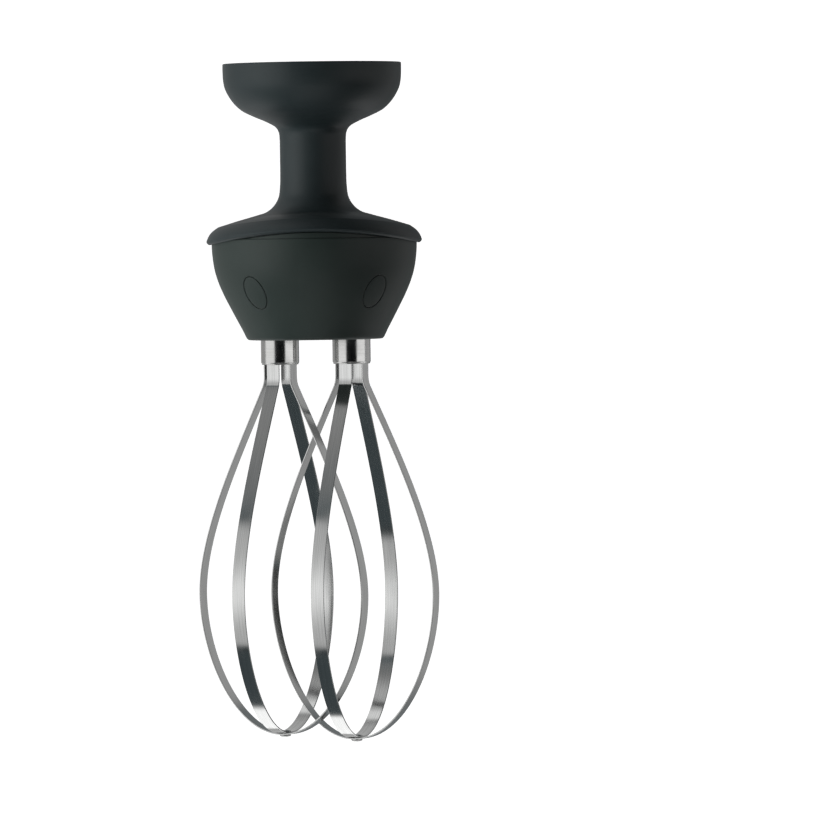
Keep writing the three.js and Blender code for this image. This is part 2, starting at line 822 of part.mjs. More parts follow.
// Oval key whose face is a piece of the bowl's own surface.
function releaseButton(side) {
  return buttonPlug(side, 0, -6.6, 4).intersect(bowlBlock(BUTTON_FACE_SIDES));
}

// Unit vector from a button's place towards the bowl's axis.
function inward(side) {
  return new THREE.Vector2(-side * Math.sin(BUTTON_AZIMUTH), Math.cos(BUTTON_AZIMUTH));
}

// Flat latch slide: an arm from the button to a slotted eye round the spindle.
function latchPlate(side) {
  const way = inward(side);
  const eye = new THREE.Vector2(side * SPINDLE_X, 0);
  const heel = way.clone().multiplyScalar(-LATCH_HEEL_R);
  const eyeDisc = prism(circleShape(8.6, eye.x, eye.y), LATCH_BOTTOM, LATCH_TOP, 12);
  const span = eye.clone().sub(heel);
  const arm = new THREE.BoxGeometry(span.length(), 6.4, LATCH_TOP - LATCH_BOTTOM);
  arm.rotateZ(Math.atan2(span.y, span.x));
  arm.translate((eye.x + heel.x) / 2, (eye.y + heel.y) / 2, (LATCH_TOP + LATCH_BOTTOM) / 2);
  const slot = [0, 1, 2].map((step) => {
    const shift = way.clone().multiplyScalar((-step * BUTTON_TRAVEL) / 2);
    return at(rod(SPINDLE_R + 0.6, -97, -91), eye.x + shift.x, eye.y + shift.y);
  });
  const tab = new THREE.BoxGeometry(1.6, 4.6, 6);
  tab.rotateZ(Math.atan2(way.y, way.x));
  const tabR = SPRING_OUTER_R + SPRING_WIRE + GAP + 0.8;
  tab.translate(-way.x * tabR, -way.y * tabR, LATCH_TOP - 5);
  return cut(join(eyeDisc, solid(arm), solid(tab)), ...slot);
}

// Compression spring from the latch slide's heel to a stop inside the bowl.
function releaseSpring(side) {
  const way = inward(side);
  const points = [];
  const length = SPRING_OUTER_R - SPRING_INNER_R;
  const steps = SPRING_TURNS * 8;
  for (let i = 0; i <= steps; i += 1) {
    const angle = (i * TAU * SPRING_TURNS) / steps;
    const along = (i * length) / steps;
    points.push(
      new THREE.Vector3(
        way.x * along - way.y * SPRING_R * Math.cos(angle),
        way.y * along + way.x * SPRING_R * Math.cos(angle),
        SPRING_R * Math.sin(angle),
      ),
    );
  }
  const path = new THREE.CatmullRomCurve3(points);
  const spring = new THREE.ExtrudeGeometry(polygonShape(5, SPRING_WIRE), {
    steps,
    extrudePath: path,
    bevelEnabled: false,
  });
  spring.translate(-way.x * SPRING_OUTER_R, -way.y * SPRING_OUTER_R, SPRING_Z);
  return solid(spring);
}

// ---------------------------------------------------------------- assembly

function housingGroup() {
  const group = new THREE.Group();
  group.add(piece('upper_housing', upperHousing(), 'plastic'));
  group.add(piece('lower_housing', lowerHousing(), 'plastic'));
  group.add(piece('housing_gasket', housingGasket(), 'rubber'));
  group.add(piece('coupling_ring', couplingRing(), 'steel'));
  group.add(piece('shaft_seal', shaftSeal(), 'rubber'));
  group.add(piece('upper_bearing', bearing(UPPER_BEARING_TOP), 'steel'));
  group.add(piece('lower_bearing', bearing(LOWER_BEARING_TOP), 'steel'));
  group.add(piece('bearing_circlip', bearingCirclip(), 'steel'));
  group.add(piece('gear_plate', gearPlate(), 'innerPlastic'));
  const pin = at(rod(PIN_R, -100, -64.5), COUNTER_X, COUNTER_Y);
  group.add(piece('countershaft_pin', pin, 'steel'));
  POST_SPOTS.forEach(([x, y], i) => {
    const screw = piece(`gear_plate_screw_${i + 1}`, capScrew(1, 2.4, 12, 1.7), 'steel');
    screw.position.set(x, y, PLATE_TOP + GAP);
    group.add(screw);
  });
  for (const [name, [x, y]] of Object.entries(HOUSING_SCREWS)) {
    const screw = piece(`housing_screw_${name}`, capScrew(1.3, 2.75, 41.8, 1.6), 'steel');
    screw.rotation.x = Math.PI;
    screw.position.set(x, y, SCREW_POCKET_TOP - GAP);
    group.add(screw);
  }
  return group;
}

function driveGroup() {
  const group = new THREE.Group();
  group.add(piece('drive_coupling', driveCoupling(), 'nylon'));
  group.add(piece('drive_shaft', driveShaft(), 'steel'));
  group.add(piece('drive_pinion', drivePinion(), 'steel'));
  return group;
}

function countershaftGroup() {
  const group = new THREE.Group();
  group.add(piece('reduction_wheel', reductionWheel(), 'nylon'));
  group.add(piece('reduction_pinion', reductionPinion(), 'steel'));
  group.position.set(COUNTER_X, COUNTER_Y, 0);
  return group;
}

function spindleGroup(name, gearTurn) {
  const group = new THREE.Group();
  const gear = boredGear(
    SPINDLE_TEETH,
    SLOW_MODULE,
    gearTurn,
    SPINDLE_R + GAP,
    SLOW_GEAR_BOTTOM,
    SLOW_GEAR_TOP,
  );
  group.add(piece(`${name}_spindle`, spindle(), 'steel'));
  group.add(piece(`${name}_spindle_gear`, gear, 'nylon'));
  group.add(piece(`${name}_spindle_clip`, spindleClip(), 'steel'));
  return group;
}

// The outer band passes under the inner one at the rivet.
function whiskGroup(name) {
  const { wideR, bottom, phase } = WHISKS[name];
  const group = new THREE.Group();
  const outer = piece(`${name}_outer_band`, band(wideR, bottom), 'steel');
  const inner = piece(`${name}_inner_band`, band(wideR, bottom + BAND_THICK + GAP), 'steel');
  outer.rotation.z = Math.PI - phase;
  inner.rotation.z = Math.PI / 2 - phase;
  group.add(piece(`${name}_ferrule`, ferrule(), 'steel'));
  group.add(piece(`${name}_whisk_stem`, whiskStem(), 'steel'));
  group.add(outer);
  group.add(inner);
  group.add(piece(`${name}_rivet`, rivet(bottom), 'steel'));
  return group;
}

function spindleBearings(name, side) {
  const group = new THREE.Group();
  const plateBush = tube(PLATE_BUSH_R, JOURNAL_R + GAP, PLATE_BOTTOM - 0.6, PLATE_TOP - GAP);
  const lowerBush = tube(BUSH_R, SPINDLE_R + GAP, LOWER_BUSH_BOTTOM, LOWER_BUSH_TOP);
  group.add(piece(`${name}_plate_bush`, plateBush, 'bronze'));
  group.add(piece(`${name}_spindle_bush`, lowerBush, 'bronze'));
  group.add(piece(`${name}_spindle_seal`, spindleSeal(), 'rubber'));
  group.position.x = side * SPINDLE_X;
  return group;
}

function releaseGroup(name, side) {
  const group = new THREE.Group();
  group.add(piece(`${name}_release_button`, releaseButton(side), 'plastic'));
  group.add(piece(`${name}_latch_plate`, latchPlate(side), 'steel'));
  group.add(piece(`${name}_release_spring`, releaseSpring(side), 'steel'));
  return group;
}

const attachment = new THREE.Group();
attachment.name = 'whisk_attachment';
attachment.add(housingGroup());
attachment.add(driveGroup());
attachment.add(countershaftGroup());
for (const [name, side, gearTurn] of [
  ['left', -1, LEFT_GEAR_TURN],
  ['right', 1, RIGHT_GEAR_TURN],
]) {
  attachment.add(spindleBearings(name, side));
  attachment.add(releaseGroup(name, side));
  const spinning = new THREE.Group();
  spinning.position.x = side * SPINDLE_X;
  spinning.add(spindleGroup(name, gearTurn));
  spinning.add(whiskGroup(name));
  attachment.add(spinning);
}

export default attachment;
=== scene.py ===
"""Looks of the twin-whisk mixer attachment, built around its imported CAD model.

Sizes are millimetres in the CAD frame and become metres in make_object; only the light and the camera are
placed in metres. The origin is the centre of the coupling cup's top rim, +Z up. The front is -Y, and the two
whisks lie apart along X.
"""

import json
import math
from collections import Counter

import bmesh
import bpy
from mathutils import Matrix, Vector


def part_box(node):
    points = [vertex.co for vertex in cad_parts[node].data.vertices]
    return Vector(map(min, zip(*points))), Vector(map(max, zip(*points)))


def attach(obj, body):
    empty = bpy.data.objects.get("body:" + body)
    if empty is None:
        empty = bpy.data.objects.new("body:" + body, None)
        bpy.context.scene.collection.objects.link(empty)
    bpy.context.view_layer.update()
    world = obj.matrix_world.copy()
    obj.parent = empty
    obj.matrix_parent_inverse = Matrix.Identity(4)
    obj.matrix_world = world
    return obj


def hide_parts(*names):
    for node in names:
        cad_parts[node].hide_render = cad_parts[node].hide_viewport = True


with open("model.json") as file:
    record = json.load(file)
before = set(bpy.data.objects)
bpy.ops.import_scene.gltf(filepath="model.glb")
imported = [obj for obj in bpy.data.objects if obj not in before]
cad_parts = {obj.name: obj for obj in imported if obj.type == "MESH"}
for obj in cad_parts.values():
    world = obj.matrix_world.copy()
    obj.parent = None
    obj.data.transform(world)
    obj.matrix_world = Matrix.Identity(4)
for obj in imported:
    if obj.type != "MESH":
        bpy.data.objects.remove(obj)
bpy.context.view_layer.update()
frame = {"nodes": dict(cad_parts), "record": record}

MM = 0.001
TAU = math.tau
SLOT_OF = {row["node"]: row["material_slot"] for row in frame["record"]["subparts"]}


# ------------------------------------------------------------------ sizes

def box_mm(node):
    low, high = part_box(node)
    return Vector(low) / MM, Vector(high) / MM


RIM_R = box_mm("upper_housing")[1].x
SPINDLE_X = sum(corner.x for corner in box_mm("right_ferrule")) / 2
FERRULE_TOP = box_mm("right_ferrule")[1].z
FERRULE_BOTTOM = -117.9
FERRULE_R = 7.5
BOWL_BOTTOM = box_mm("lower_housing")[0].z

CUP_R = 35.0
CUP_BORE_R = 32.0
NECK_R = 12.95
BEARING_SEAT_R = 8.3
BEARING_STEP_R = 6.6  # the step that each bearing rests against

BOWL_R = 40.2
SPIGOT_R = 39.8  # the bowl's inset top edge, under the rim
SPIGOT_TOP = -68.1
SPIGOT_WALL = 1.9
GROOVE_DEPTH = 1.1  # of the shadow groove under the lip
BOWL_STEP = -68.6  # level of the bowl's edge, where the spigot starts
BOWL_WALL = 2.4
FLOOR_TOP = BOWL_BOTTOM + 2.8
RECESS_TOP = BOWL_BOTTOM + 0.3  # shallow recess in the bowl's base, inside its foot
SPINDLE_BORE_R = 6.7
SCREW_POCKET_R = 3.1
SCREW_POCKET_TOP = -106.0

RIM_LIFT = 4.7  # how far the rim's lip arches up at the front and back
CROWN_LIFT = 3.1  # the shoulder's crown arches up a little less
CROWN_Z = -65.3  # between these two levels the lift grows from crown to lip
LIP_Z = -70.8
LIFT_START_R = 16.0  # the arch fades out towards the neck
LIFT_FULL_R = 36.5
SHOULDER_TOP = -50.0
LEDGE_Z = -66.9
LEDGE_R = 40.2
LIP_INNER_R = 40.7

SIDE = {"left": -1, "right": 1}
BAND_WIDTH = 5.5
BAND_THICK = 0.55
BAND_CORNER = 0.16
BAND_GAP = 0.04  # between the two bands where they cross
BAND_ROOT_R = 5.7  # distance of a band's straight root from the spindle's axis
BEND_R = 6.5  # where the straight root has turned into the balloon
BEND_Z = -126.7
FLARE = math.radians(25.5)  # the balloon's slope at the bend, from the vertical
WIDE_R = {"left": 36.1, "right": 34.8}
WIDE_Z = -207.8
PHASE = {"left": math.radians(28.6), "right": math.radians(25.0)}  # how far each whisk is turned
WHISK_BOTTOM = {"left": -262.7, "right": -264.9}
FERRULE_WALL = 0.65
PLUG_R = 5.1  # round plug of the stem that fills the ferrule between the bands
HEXAGON_R = 3.0
RIVET_R = 2.2
RIVET_SHANK_R = 1.25
RIVET_HOLE_R = 1.32

BUTTON_AZIMUTH = math.radians(40.5)
BUTTON_Z = -89.5
BUTTON_HIGH = 12.6 / 2
BUTTON_WIDE = 9.6 / 2
BUTTON_TILT = math.radians(15)
BUTTON_GROOVE = 0.22
BUTTON_DEPTH = 6.4
# Rounded edge on either side of the groove: distance from the groove, and depth in the surface.
EDGE_ROUND = ((0.3, 0.0), (0.14, 0.03), (0.04, 0.12), (0.0, 0.28))

HOUSING_SIDES = 192
ROUND_SIDES = 96


# ------------------------------------------------------------------ outlines

def spline(points, per_span=6):
    """A smooth line through the points (centripetal Catmull-Rom)."""
    pts = [Vector(p) for p in points]
    pts = [2 * pts[0] - pts[1]] + pts + [2 * pts[-1] - pts[-2]]
    line = []
    for i in range(1, len(pts) - 2):
        p0, p1, p2, p3 = pts[i - 1:i + 3]
        t0 = 0.0
        t1 = t0 + (p1 - p0).length ** 0.5
        t2 = t1 + (p2 - p1).length ** 0.5
        t3 = t2 + (p3 - p2).length ** 0.5
        for k in range(per_span):
            t = t1 + (t2 - t1) * k / per_span
            a1 = p0 * ((t1 - t) / (t1 - t0)) + p1 * ((t - t0) / (t1 - t0))
            a2 = p1 * ((t2 - t) / (t2 - t1)) + p2 * ((t - t1) / (t2 - t1))
            a3 = p2 * ((t3 - t) / (t3 - t2)) + p3 * ((t - t2) / (t3 - t2))
            b1 = a1 * ((t2 - t) / (t2 - t0)) + a2 * ((t - t0) / (t2 - t0))
            b2 = a2 * ((t3 - t) / (t3 - t1)) + a3 * ((t - t1) / (t3 - t1))
            line.append(tuple(b1 * ((t2 - t) / (t2 - t1)) + b2 * ((t - t1) / (t2 - t1))))
    line.append(tuple(pts[-2]))
    return line


def rounded(corners, closed=True, steps=5):
    """A polyline of (r, z, fillet) corners, each rounded by about its fillet radius, with a point of support
    on either side that keeps the shading of the flat stretches even."""
    out = []
    n = len(corners)
    for i, (r, z, fillet) in enumerate(corners):
        here = Vector((r, z))
        if fillet <= 0 or (not closed and i in (0, n - 1)):
            out.append((r, z))
            continue
        before = Vector(corners[i - 1][:2]) - here
        after = Vector(corners[(i + 1) % n][:2]) - here
        half = before.angle(after) / 2
        reach = min(fillet / math.tan(half), before.length * 0.49, after.length * 0.49)
        start = here + before.normalized() * reach
        end = here + after.normalized() * reach
        support = min(reach * 0.5, before.length * 0.2, after.length * 0.2)
        out.append(tuple(start + before.normalized() * support))
        for k in range(steps + 1):
            t = k / steps
            mid = start.lerp(here, t).lerp(here.lerp(end, t), t)
            out.append(tuple(mid))
        out.append(tuple(end + after.normalized() * support))
    return out


def smooth(value, start, end):
    t = max(0.0, min(1.0, (value - start) / (end - start)))
    return t * t * (3 - 2 * t)


def lift_at(z):
    """How far the rim arches up at the front and back: more at its lip than at its crown."""
    return CROWN_LIFT + (RIM_LIFT - CROWN_LIFT) * smooth(-z, -CROWN_Z, -LIP_Z)


def arch(x, y, z):
    """Lifts a point of the shoulder or rim where it stands towards the front or back."""
    r = math.hypot(x, y)
    if z > SHOULDER_TOP or r < LIFT_START_R:
        return x, y, z
    return x, y, z + lift_at(z) * smooth(r, LIFT_START_R, LIFT_FULL_R) * (y / r) ** 2


# ------------------------------------------------------------------ meshes

def make_object(name, verts, faces):
    """A smooth-shaded object from millimetre vertices."""
    mesh = bpy.data.meshes.new(name)
    mesh.from_pydata([(x * MM, y * MM, z * MM) for x, y, z in verts], [], faces)
    mesh.validate()
    mesh.polygons.foreach_set("use_smooth", [True] * len(mesh.polygons))
    mesh.update()
    obj = bpy.data.objects.new(name, mesh)
    bpy.context.scene.collection.objects.link(obj)
    return obj


def stack(name, sections, sides=ROUND_SIDES, closed=False, warp=None, centre=(0, 0)):
    """Rings of vertices at each (radius, z), joined by quads. A radius may be a function of the angle.
    Sections run anticlockwise seen with the radius to the right. Radius 0 makes a pole."""
    verts, rings = [], []
    for r, z in sections:
        if not callable(r) and r < 1e-6:
            rings.append([len(verts)])
            verts.append((centre[0], centre[1], z))
            continue
        ring = []
        for k in range(sides):
            a = TAU * k / sides
            radius = r(a) if callable(r) else r
            point = (radius * math.cos(a), radius * math.sin(a), z)
            point = warp(*point) if warp else point
            ring.append(len(verts))
            verts.append((point[0] + centre[0], point[1] + centre[1], point[2]))
        rings.append(ring)
    faces = []
    pairs = list(zip(rings, rings[1:]))
    if closed:
        pairs.append((rings[-1], rings[0]))
    for low, high in pairs:
        for k in range(sides):
            j = (k + 1) % sides
            if len(low) == 1 and len(high) == 1:
                break
            if len(low) == 1:
                faces.append((low[0], high[j], high[k]))
            elif len(high) == 1:
                faces.append((low[k], low[j], high[0]))
            else:
                faces.append((low[k], low[j], high[j], high[k]))
    return make_object(name, verts, faces)


def apply_modifiers(obj):
    evaluated = obj.evaluated_get(bpy.context.evaluated_depsgraph_get())
    mesh = bpy.data.meshes.new_from_object(evaluated)
    obj.modifiers.clear()
    old = obj.data
    obj.data = mesh
    mesh.name = old.name
    bpy.data.meshes.remove(old)


def cut(obj, tools):
    """Cuts the tools out of the object and deletes them."""
    for tool in tools:
        step = obj.modifiers.new("cut", "BOOLEAN")
        step.object = tool
        step.operation = "DIFFERENCE"
        step.solver = "EXACT"
    bpy.context.view_layer.update()
    apply_modifiers(obj)
    for tool in tools:
        bpy.data.objects.remove(tool)


def crisp(obj, angle=30):
    """Keeps corners sharper than the angle, and evens the shading beside small fillets."""
    obj.data.set_sharp_from_angle(angle=math.radians(angle))
    weighted = obj.modifiers.new("even_normals", "WEIGHTED_NORMAL")
    weighted.keep_sharp = True
    weighted.weight = 80
    return obj


def crease_ring(obj, ring):
    """Makes one ring of a stacked housing piece a sharp edge."""
    first, last = ring * HOUSING_SIDES, (ring + 1) * HOUSING_SIDES
    for edge in obj.data.edges:
        if all(first <= v < last for v in edge.vertices):
            edge.use_edge_sharp = True


def fix_normals(obj):
    """Turns all faces to look outwards."""
    mesh = bmesh.new()
    mesh.from_mesh(obj.data)
    bmesh.ops.recalc_face_normals(mesh, faces=mesh.faces)
    mesh.to_mesh(obj.data)
    mesh.free()


def add_ring(verts, points):
    """Adds the points as vertices and returns their numbers."""
    first = len(verts)
    verts.extend(points)
    return list(range(first, len(verts)))


def level_ring(r, z):
    """Points of a housing ring. Its level may be a function of the angle."""
    angles = [TAU * k / HOUSING_SIDES for k in range(HOUSING_SIDES)]
    return [(r * math.cos(a), r * math.sin(a), z(a) if callable(z) else z) for a in angles]


def bridge(outer, inner):
    """Quads between two rings with the same number of vertices."""
    n = len(outer)
    return [(outer[k], outer[(k + 1) % n], inner[(k + 1) % n], inner[k]) for k in range(n)]


def match(ring_a, angles_a, ring_b, angles_b):
    """Faces between two rings round the same centre that may hold different numbers of vertices."""
    faces = []
    i = j = 0
    n, m = len(ring_a), len(ring_b)
    while i < n or j < m:
        next_a = angles_a[(i + 1) % n] + (TAU if i + 1 >= n else 0)
        next_b = angles_b[(j + 1) % m] + (TAU if j + 1 >= m else 0)
        if i < n and (j >= m or next_a <= next_b):
            faces.append((ring_a[i % n], ring_a[(i + 1) % n], ring_b[j % m]))
            i += 1
        else:
            faces.append((ring_a[i % n], ring_b[(j + 1) % m], ring_b[j % m]))
            j += 1
    return faces


# ------------------------------------------------------------------ materials

class Look:
    """A Principled material with small helpers for its procedural nodes."""

    def __init__(self, name, colour, roughness, metallic=0.0):
        self.material = bpy.data.materials.new(name)
        self.material.use_nodes = True
        self.tree = self.material.node_tree
        self.shader = self.tree.nodes["Principled BSDF"]
        self.shader.inputs["Base Color"].default_value = (*colour, 1)
        self.shader.inputs["Roughness"].default_value = roughness
        self.shader.inputs["Metallic"].default_value = metallic
        self.shader.inputs["Specular IOR Level"].default_value = 0.5
        self.height = None

    def node(self, kind, **values):
        made = self.tree.nodes.new(kind)
        for key, value in values.items():
            setattr(made, key, value)
        return made

    def link(self, out, to):
        self.tree.links.new(out, to)

    def noise(self, scale, stretch=(1, 1, 1), detail=3.0, uv=None):
        """Noise in the piece's own space, or along a UV layer."""
        if uv:
            where = self.node("ShaderNodeUVMap", uv_map=uv).outputs["UV"]
        else:
            where = self.node("ShaderNodeTexCoord").outputs["Object"]
        mapping = self.node("ShaderNodeMapping")
        mapping.inputs["Scale"].default_value = stretch
        noise = self.node("ShaderNodeTexNoise")
        noise.inputs["Scale"].default_value = scale
        noise.inputs["Detail"].default_value = detail
        self.link(where, mapping.inputs["Vector"])
        self.link(mapping.outputs["Vector"], noise.inputs["Vector"])
        return noise.outputs["Fac"]

    def ramp(self, source, low, high, start=0.35, end=0.65):
        """Takes the source from its start and end values to low and high."""
        ramp = self.node("ShaderNodeMapRange")
        ramp.inputs["From Min"].default_value = start
        ramp.inputs["From Max"].default_value = end
        ramp.inputs["To Min"].default_value = low
        ramp.inputs["To Max"].default_value = high
        self.link(source, ramp.inputs["Value"])
        return ramp.outputs["Result"]

    def colour(self, source, dark, light):
        """Base colour between dark and light."""
        mix = self.node("ShaderNodeMix", data_type="RGBA")
        mix.inputs["A"].default_value = (*dark, 1)
        mix.inputs["B"].default_value = (*light, 1)
        self.link(source, mix.inputs["Factor"])
        self.link(mix.outputs["Result"], self.shader.inputs["Base Color"])

    def bump(self, source, strength, distance):
        bump = self.node("ShaderNodeBump")
        bump.inputs["Strength"].default_value = strength
        bump.inputs["Distance"].default_value = distance
        self.link(source, bump.inputs["Height"])
        if self.height:
            self.link(self.height, bump.inputs["Normal"])
        self.height = bump.outputs["Normal"]
        self.link(self.height, self.shader.inputs["Normal"])


def charcoal_plastic(name, dark, light):
    """Matt plastic with a fine grain and faint clouds."""
    look = Look(name, dark, 0.5)
    grain = look.noise(3200, detail=2)
    cloud = look.noise(45, detail=4)
    look.colour(look.ramp(cloud, 0, 1), dark, light)
    look.link(look.ramp(cloud, 0.47, 0.54), look.shader.inputs["Roughness"])
    look.bump(grain, 0.12, 0.00006)
    return look.material


def inner_plastic():
    look = Look("inner_plastic", (0.09, 0.093, 0.096), 0.55)
    look.colour(look.ramp(look.noise(60), 0, 1), (0.08, 0.083, 0.086), (0.1, 0.103, 0.106))
    look.bump(look.noise(2600, detail=2), 0.15, 0.00006)
    return look.material


def nylon():
    look = Look("nylon", (0.68, 0.65, 0.56), 0.42)
    look.colour(look.ramp(look.noise(80), 0, 1), (0.64, 0.61, 0.52), (0.72, 0.69, 0.61))
    look.shader.inputs["Subsurface Weight"].default_value = 0.1
    look.shader.inputs["Subsurface Scale"].default_value = 0.002
    look.bump(look.noise(1800, detail=2), 0.1, 0.00004)
    return look.material


def seal_rubber():
    look = Look("seal_rubber", (0.012, 0.012, 0.012), 0.7)
    look.link(look.ramp(look.noise(300), 0.62, 0.78), look.shader.inputs["Roughness"])
    look.bump(look.noise(2200, detail=3), 0.2, 0.00005)
    return look.material


def band_steel():
    """Rolled strip: fine lines run along its length."""
    look = Look("band_steel", (0.60, 0.605, 0.60), 0.14, metallic=1.0)
    lines = look.noise(2.6, stretch=(1, 0.02, 1), detail=3, uv="strip")
    patches = look.noise(0.25, stretch=(0.4, 0.3, 1), detail=3, uv="strip")
    look.colour(look.ramp(lines, 0, 1, 0.3, 0.7), (0.53, 0.535, 0.53), (0.66, 0.665, 0.66))
    look.link(look.ramp(patches, 0.11, 0.16), look.shader.inputs["Roughness"])
    look.shader.inputs["Anisotropic"].default_value = 0.6
    across = look.node("ShaderNodeTangent", direction_type="UV_MAP", uv_map="strip")
    look.link(across.outputs["Tangent"], look.shader.inputs["Tangent"])
    look.bump(lines, 0.03, 0.00002)
    return look.material


def turned_steel():
    """Satin turned surface: fine rings round the part's axis."""
    look = Look("turned_steel", (0.60, 0.60, 0.59), 0.2, metallic=1.0)
    rings = look.noise(60, stretch=(1, 1, 160), detail=4)
    look.colour(look.ramp(rings, 0, 1, 0.3, 0.7), (0.54, 0.54, 0.53), (0.66, 0.66, 0.65))
    look.link(look.ramp(look.noise(120), 0.16, 0.24), look.shader.inputs["Roughness"])
    look.bump(rings, 0.08, 0.00002)
    return look.material


def machined_steel():
    """Duller steel of the shafts, gears, bearings, springs and screws."""
    look = Look("machined_steel", (0.5, 0.5, 0.49), 0.28, metallic=1.0)
    look.colour(look.ramp(look.noise(500), 0, 1), (0.44, 0.44, 0.43), (0.55, 0.55, 0.54))
    look.link(look.ramp(look.noise(150), 0.22, 0.36), look.shader.inputs["Roughness"])
    return look.material


def bronze():
    look = Look("bronze", (0.45, 0.3, 0.12), 0.38, metallic=1.0)
    look.colour(look.ramp(look.noise(900), 0, 1), (0.38, 0.25, 0.1), (0.52, 0.36, 0.16))
    look.bump(look.noise(3000), 0.15, 0.00004)
    return look.material


HOUSING_DARK, HOUSING_LIGHT = (0.0175, 0.0265, 0.0285), (0.023, 0.0325, 0.0345)
BOWL_DARK, BOWL_LIGHT = (0.0185, 0.0285, 0.0255), (0.024, 0.035, 0.0315)
SLOT_LOOKS = {
    "charcoal_plastic": charcoal_plastic("charcoal_plastic", HOUSING_DARK, HOUSING_LIGHT),
    "inner_plastic": inner_plastic(),
    "nylon": nylon(),
    "seal_rubber": seal_rubber(),
    "satin_steel": turned_steel(),
    "machined_steel": machined_steel(),
    "bronze": bronze(),
}
BOWL_LOOK = charcoal_plastic("charcoal_bowl", BOWL_DARK, BOWL_LIGHT)
BAND_LOOK = band_steel()


def place(obj, body, slot, nodes, look=None):
    """Gives a finished piece its material (the slot's look unless another look is given), puts it in its body
    and hides the CAD nodes it stands for.
    """
    obj.data.materials.clear()
    obj.data.materials.append(look or SLOT_LOOKS[slot])
    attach(obj, body)
    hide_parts(*nodes)
    return obj


# ------------------------------------------------------------------ upper housing

CUP_TOP = [(CUP_BORE_R, -9, 0), (CUP_BORE_R, 0, 0.5), (CUP_R, 0, 0.55), (CUP_R, -3, 0)]
CUP_OUTSIDE = [
    (CUP_R, -3), (34.8, -6.6), (34.06, -10), (31.4, -14.7), (27.8, -18.3), (23.4, -20.6), (17.9, -23),
    (14.5, -25), (13.3, -27), (NECK_R, -30.5),
]
CUP_INSIDE = [(CUP_BORE_R, -9.8), (31.4, -11.6), (29.4, -14.2), (25.6, -17.3), (20.4, -19.5), (16, -21.2)]
SHOULDER = [
    (NECK_R, -43), (13.1, -48), (13.75, -52.5), (15.75, -55.9), (18.6, -58.15), (22.1, -59.3),
    (30.1, -61.55), (37.5, -63.8),
]
RIM = [
    SHOULDER[-1], (38.4, -64.4), (39.5, -65.2), (40.5, -66.15), (41.35, -67.35), (41.95, -68.65),
    (RIM_R, -69.45), (42.05, -70.0), (41.7, -70.45), (41.25, -70.72),
]
UNDERSIDE = [
    (*RIM[-1], 0), (LIP_INNER_R, LIP_Z, 0.15), (LIP_INNER_R, -68.2, 0.2), (LEDGE_R, -68.1, 0.2),
    (LEDGE_R, LEDGE_Z, 0.2), (37, LEDGE_Z, 0.3), (30, -64.3, 2), (22, -62, 2), (10.5, -59.2, 1),
    (BEARING_SEAT_R, -57, 0.2), (BEARING_SEAT_R, -47.7, 0.2), (BEARING_STEP_R, -47.7, 0.2),
    (BEARING_STEP_R, -33, 0.2), (BEARING_SEAT_R, -32.3, 0.2), (BEARING_SEAT_R, -22, 0.4), (16, -22, 0.5),
    (16, -21.5, 0),
]


def upper_housing():
    """Cup, neck, shoulder and rim as one hollow turning. The rim is arched and has a sharp crown line."""
    outline = spline(CUP_INSIDE)[::-1]
    outline += rounded(CUP_TOP, closed=False)[1:-1]
    outline += spline(CUP_OUTSIDE)
    outline += spline(SHOULDER)
    outline += spline(RIM, 4)[1:]
    outline += rounded(UNDERSIDE, closed=False)[1:-1]
    outline.reverse()
    shell = stack("upper_housing_shell", outline, HOUSING_SIDES, closed=True, warp=arch)
    crisp(shell, 40)
    crown = min(range(len(outline)), key=lambda k: math.dist(outline[k], SHOULDER[-1]))
    crease_ring(shell, crown)
    return place(shell, "housing", "charcoal_plastic", ["upper_housing"])


# ------------------------------------------------------------------ lower housing

BOWL_OUTSIDE = [
    (28.3, -104.6), (30.9, -99.7), (33.35, -95), (35.7, -90.3), (37.7, -85.5), (39.1, -80.8), (39.85, -76.1),
    (40.15, -72.4), (BOWL_R, -69.6),
]
BOWL_LINE = spline(BOWL_OUTSIDE, 10)
BOWL_FOOT = [
    (27.55, -106.2), (27.15, -107.05), (26.85, -107.55), (26.45, -107.95), (26.0, -108.15),
    (25.5, BOWL_BOTTOM), (25.2, BOWL_BOTTOM), (24.9, BOWL_BOTTOM + 0.02), (24.65, RECESS_TOP - 0.05),
    (24.4, RECESS_TOP), (23.6, RECESS_TOP), (18, RECESS_TOP), (9, RECESS_TOP),
]
BOWL_FLOOR = [(25, FLOOR_TOP + 0.2), (24.4, FLOOR_TOP), (12, FLOOR_TOP)]
ROW_HEIGHT = 1.2  # of the lathe's rows in the bowl's wall
PATCH_COLUMNS = 8  # half the width of the patch round a button, in lathe cells
PATCH_HALF = 9.2  # half the patch's height
PATCH_SHARES = (0.72, 0.5, 0.32, 0.18, 0.08, 0.0)  # from the patch's border in to the button's groove
HOLE_DEPTH = 1.6
KEY_SIDES = 96


def bowl_radius(z):
    """Radius of the bowl's outer surface at a level, from its smooth outline."""
    for (r0, z0), (r1, z1) in zip(BOWL_LINE, BOWL_LINE[1:]):
        if z0 <= z <= z1:
            return r0 + (r1 - r0) * (z - z0) / (z1 - z0)
    return BOWL_LINE[0][0] if z < BOWL_LINE[0][1] else BOWL_LINE[-1][0]


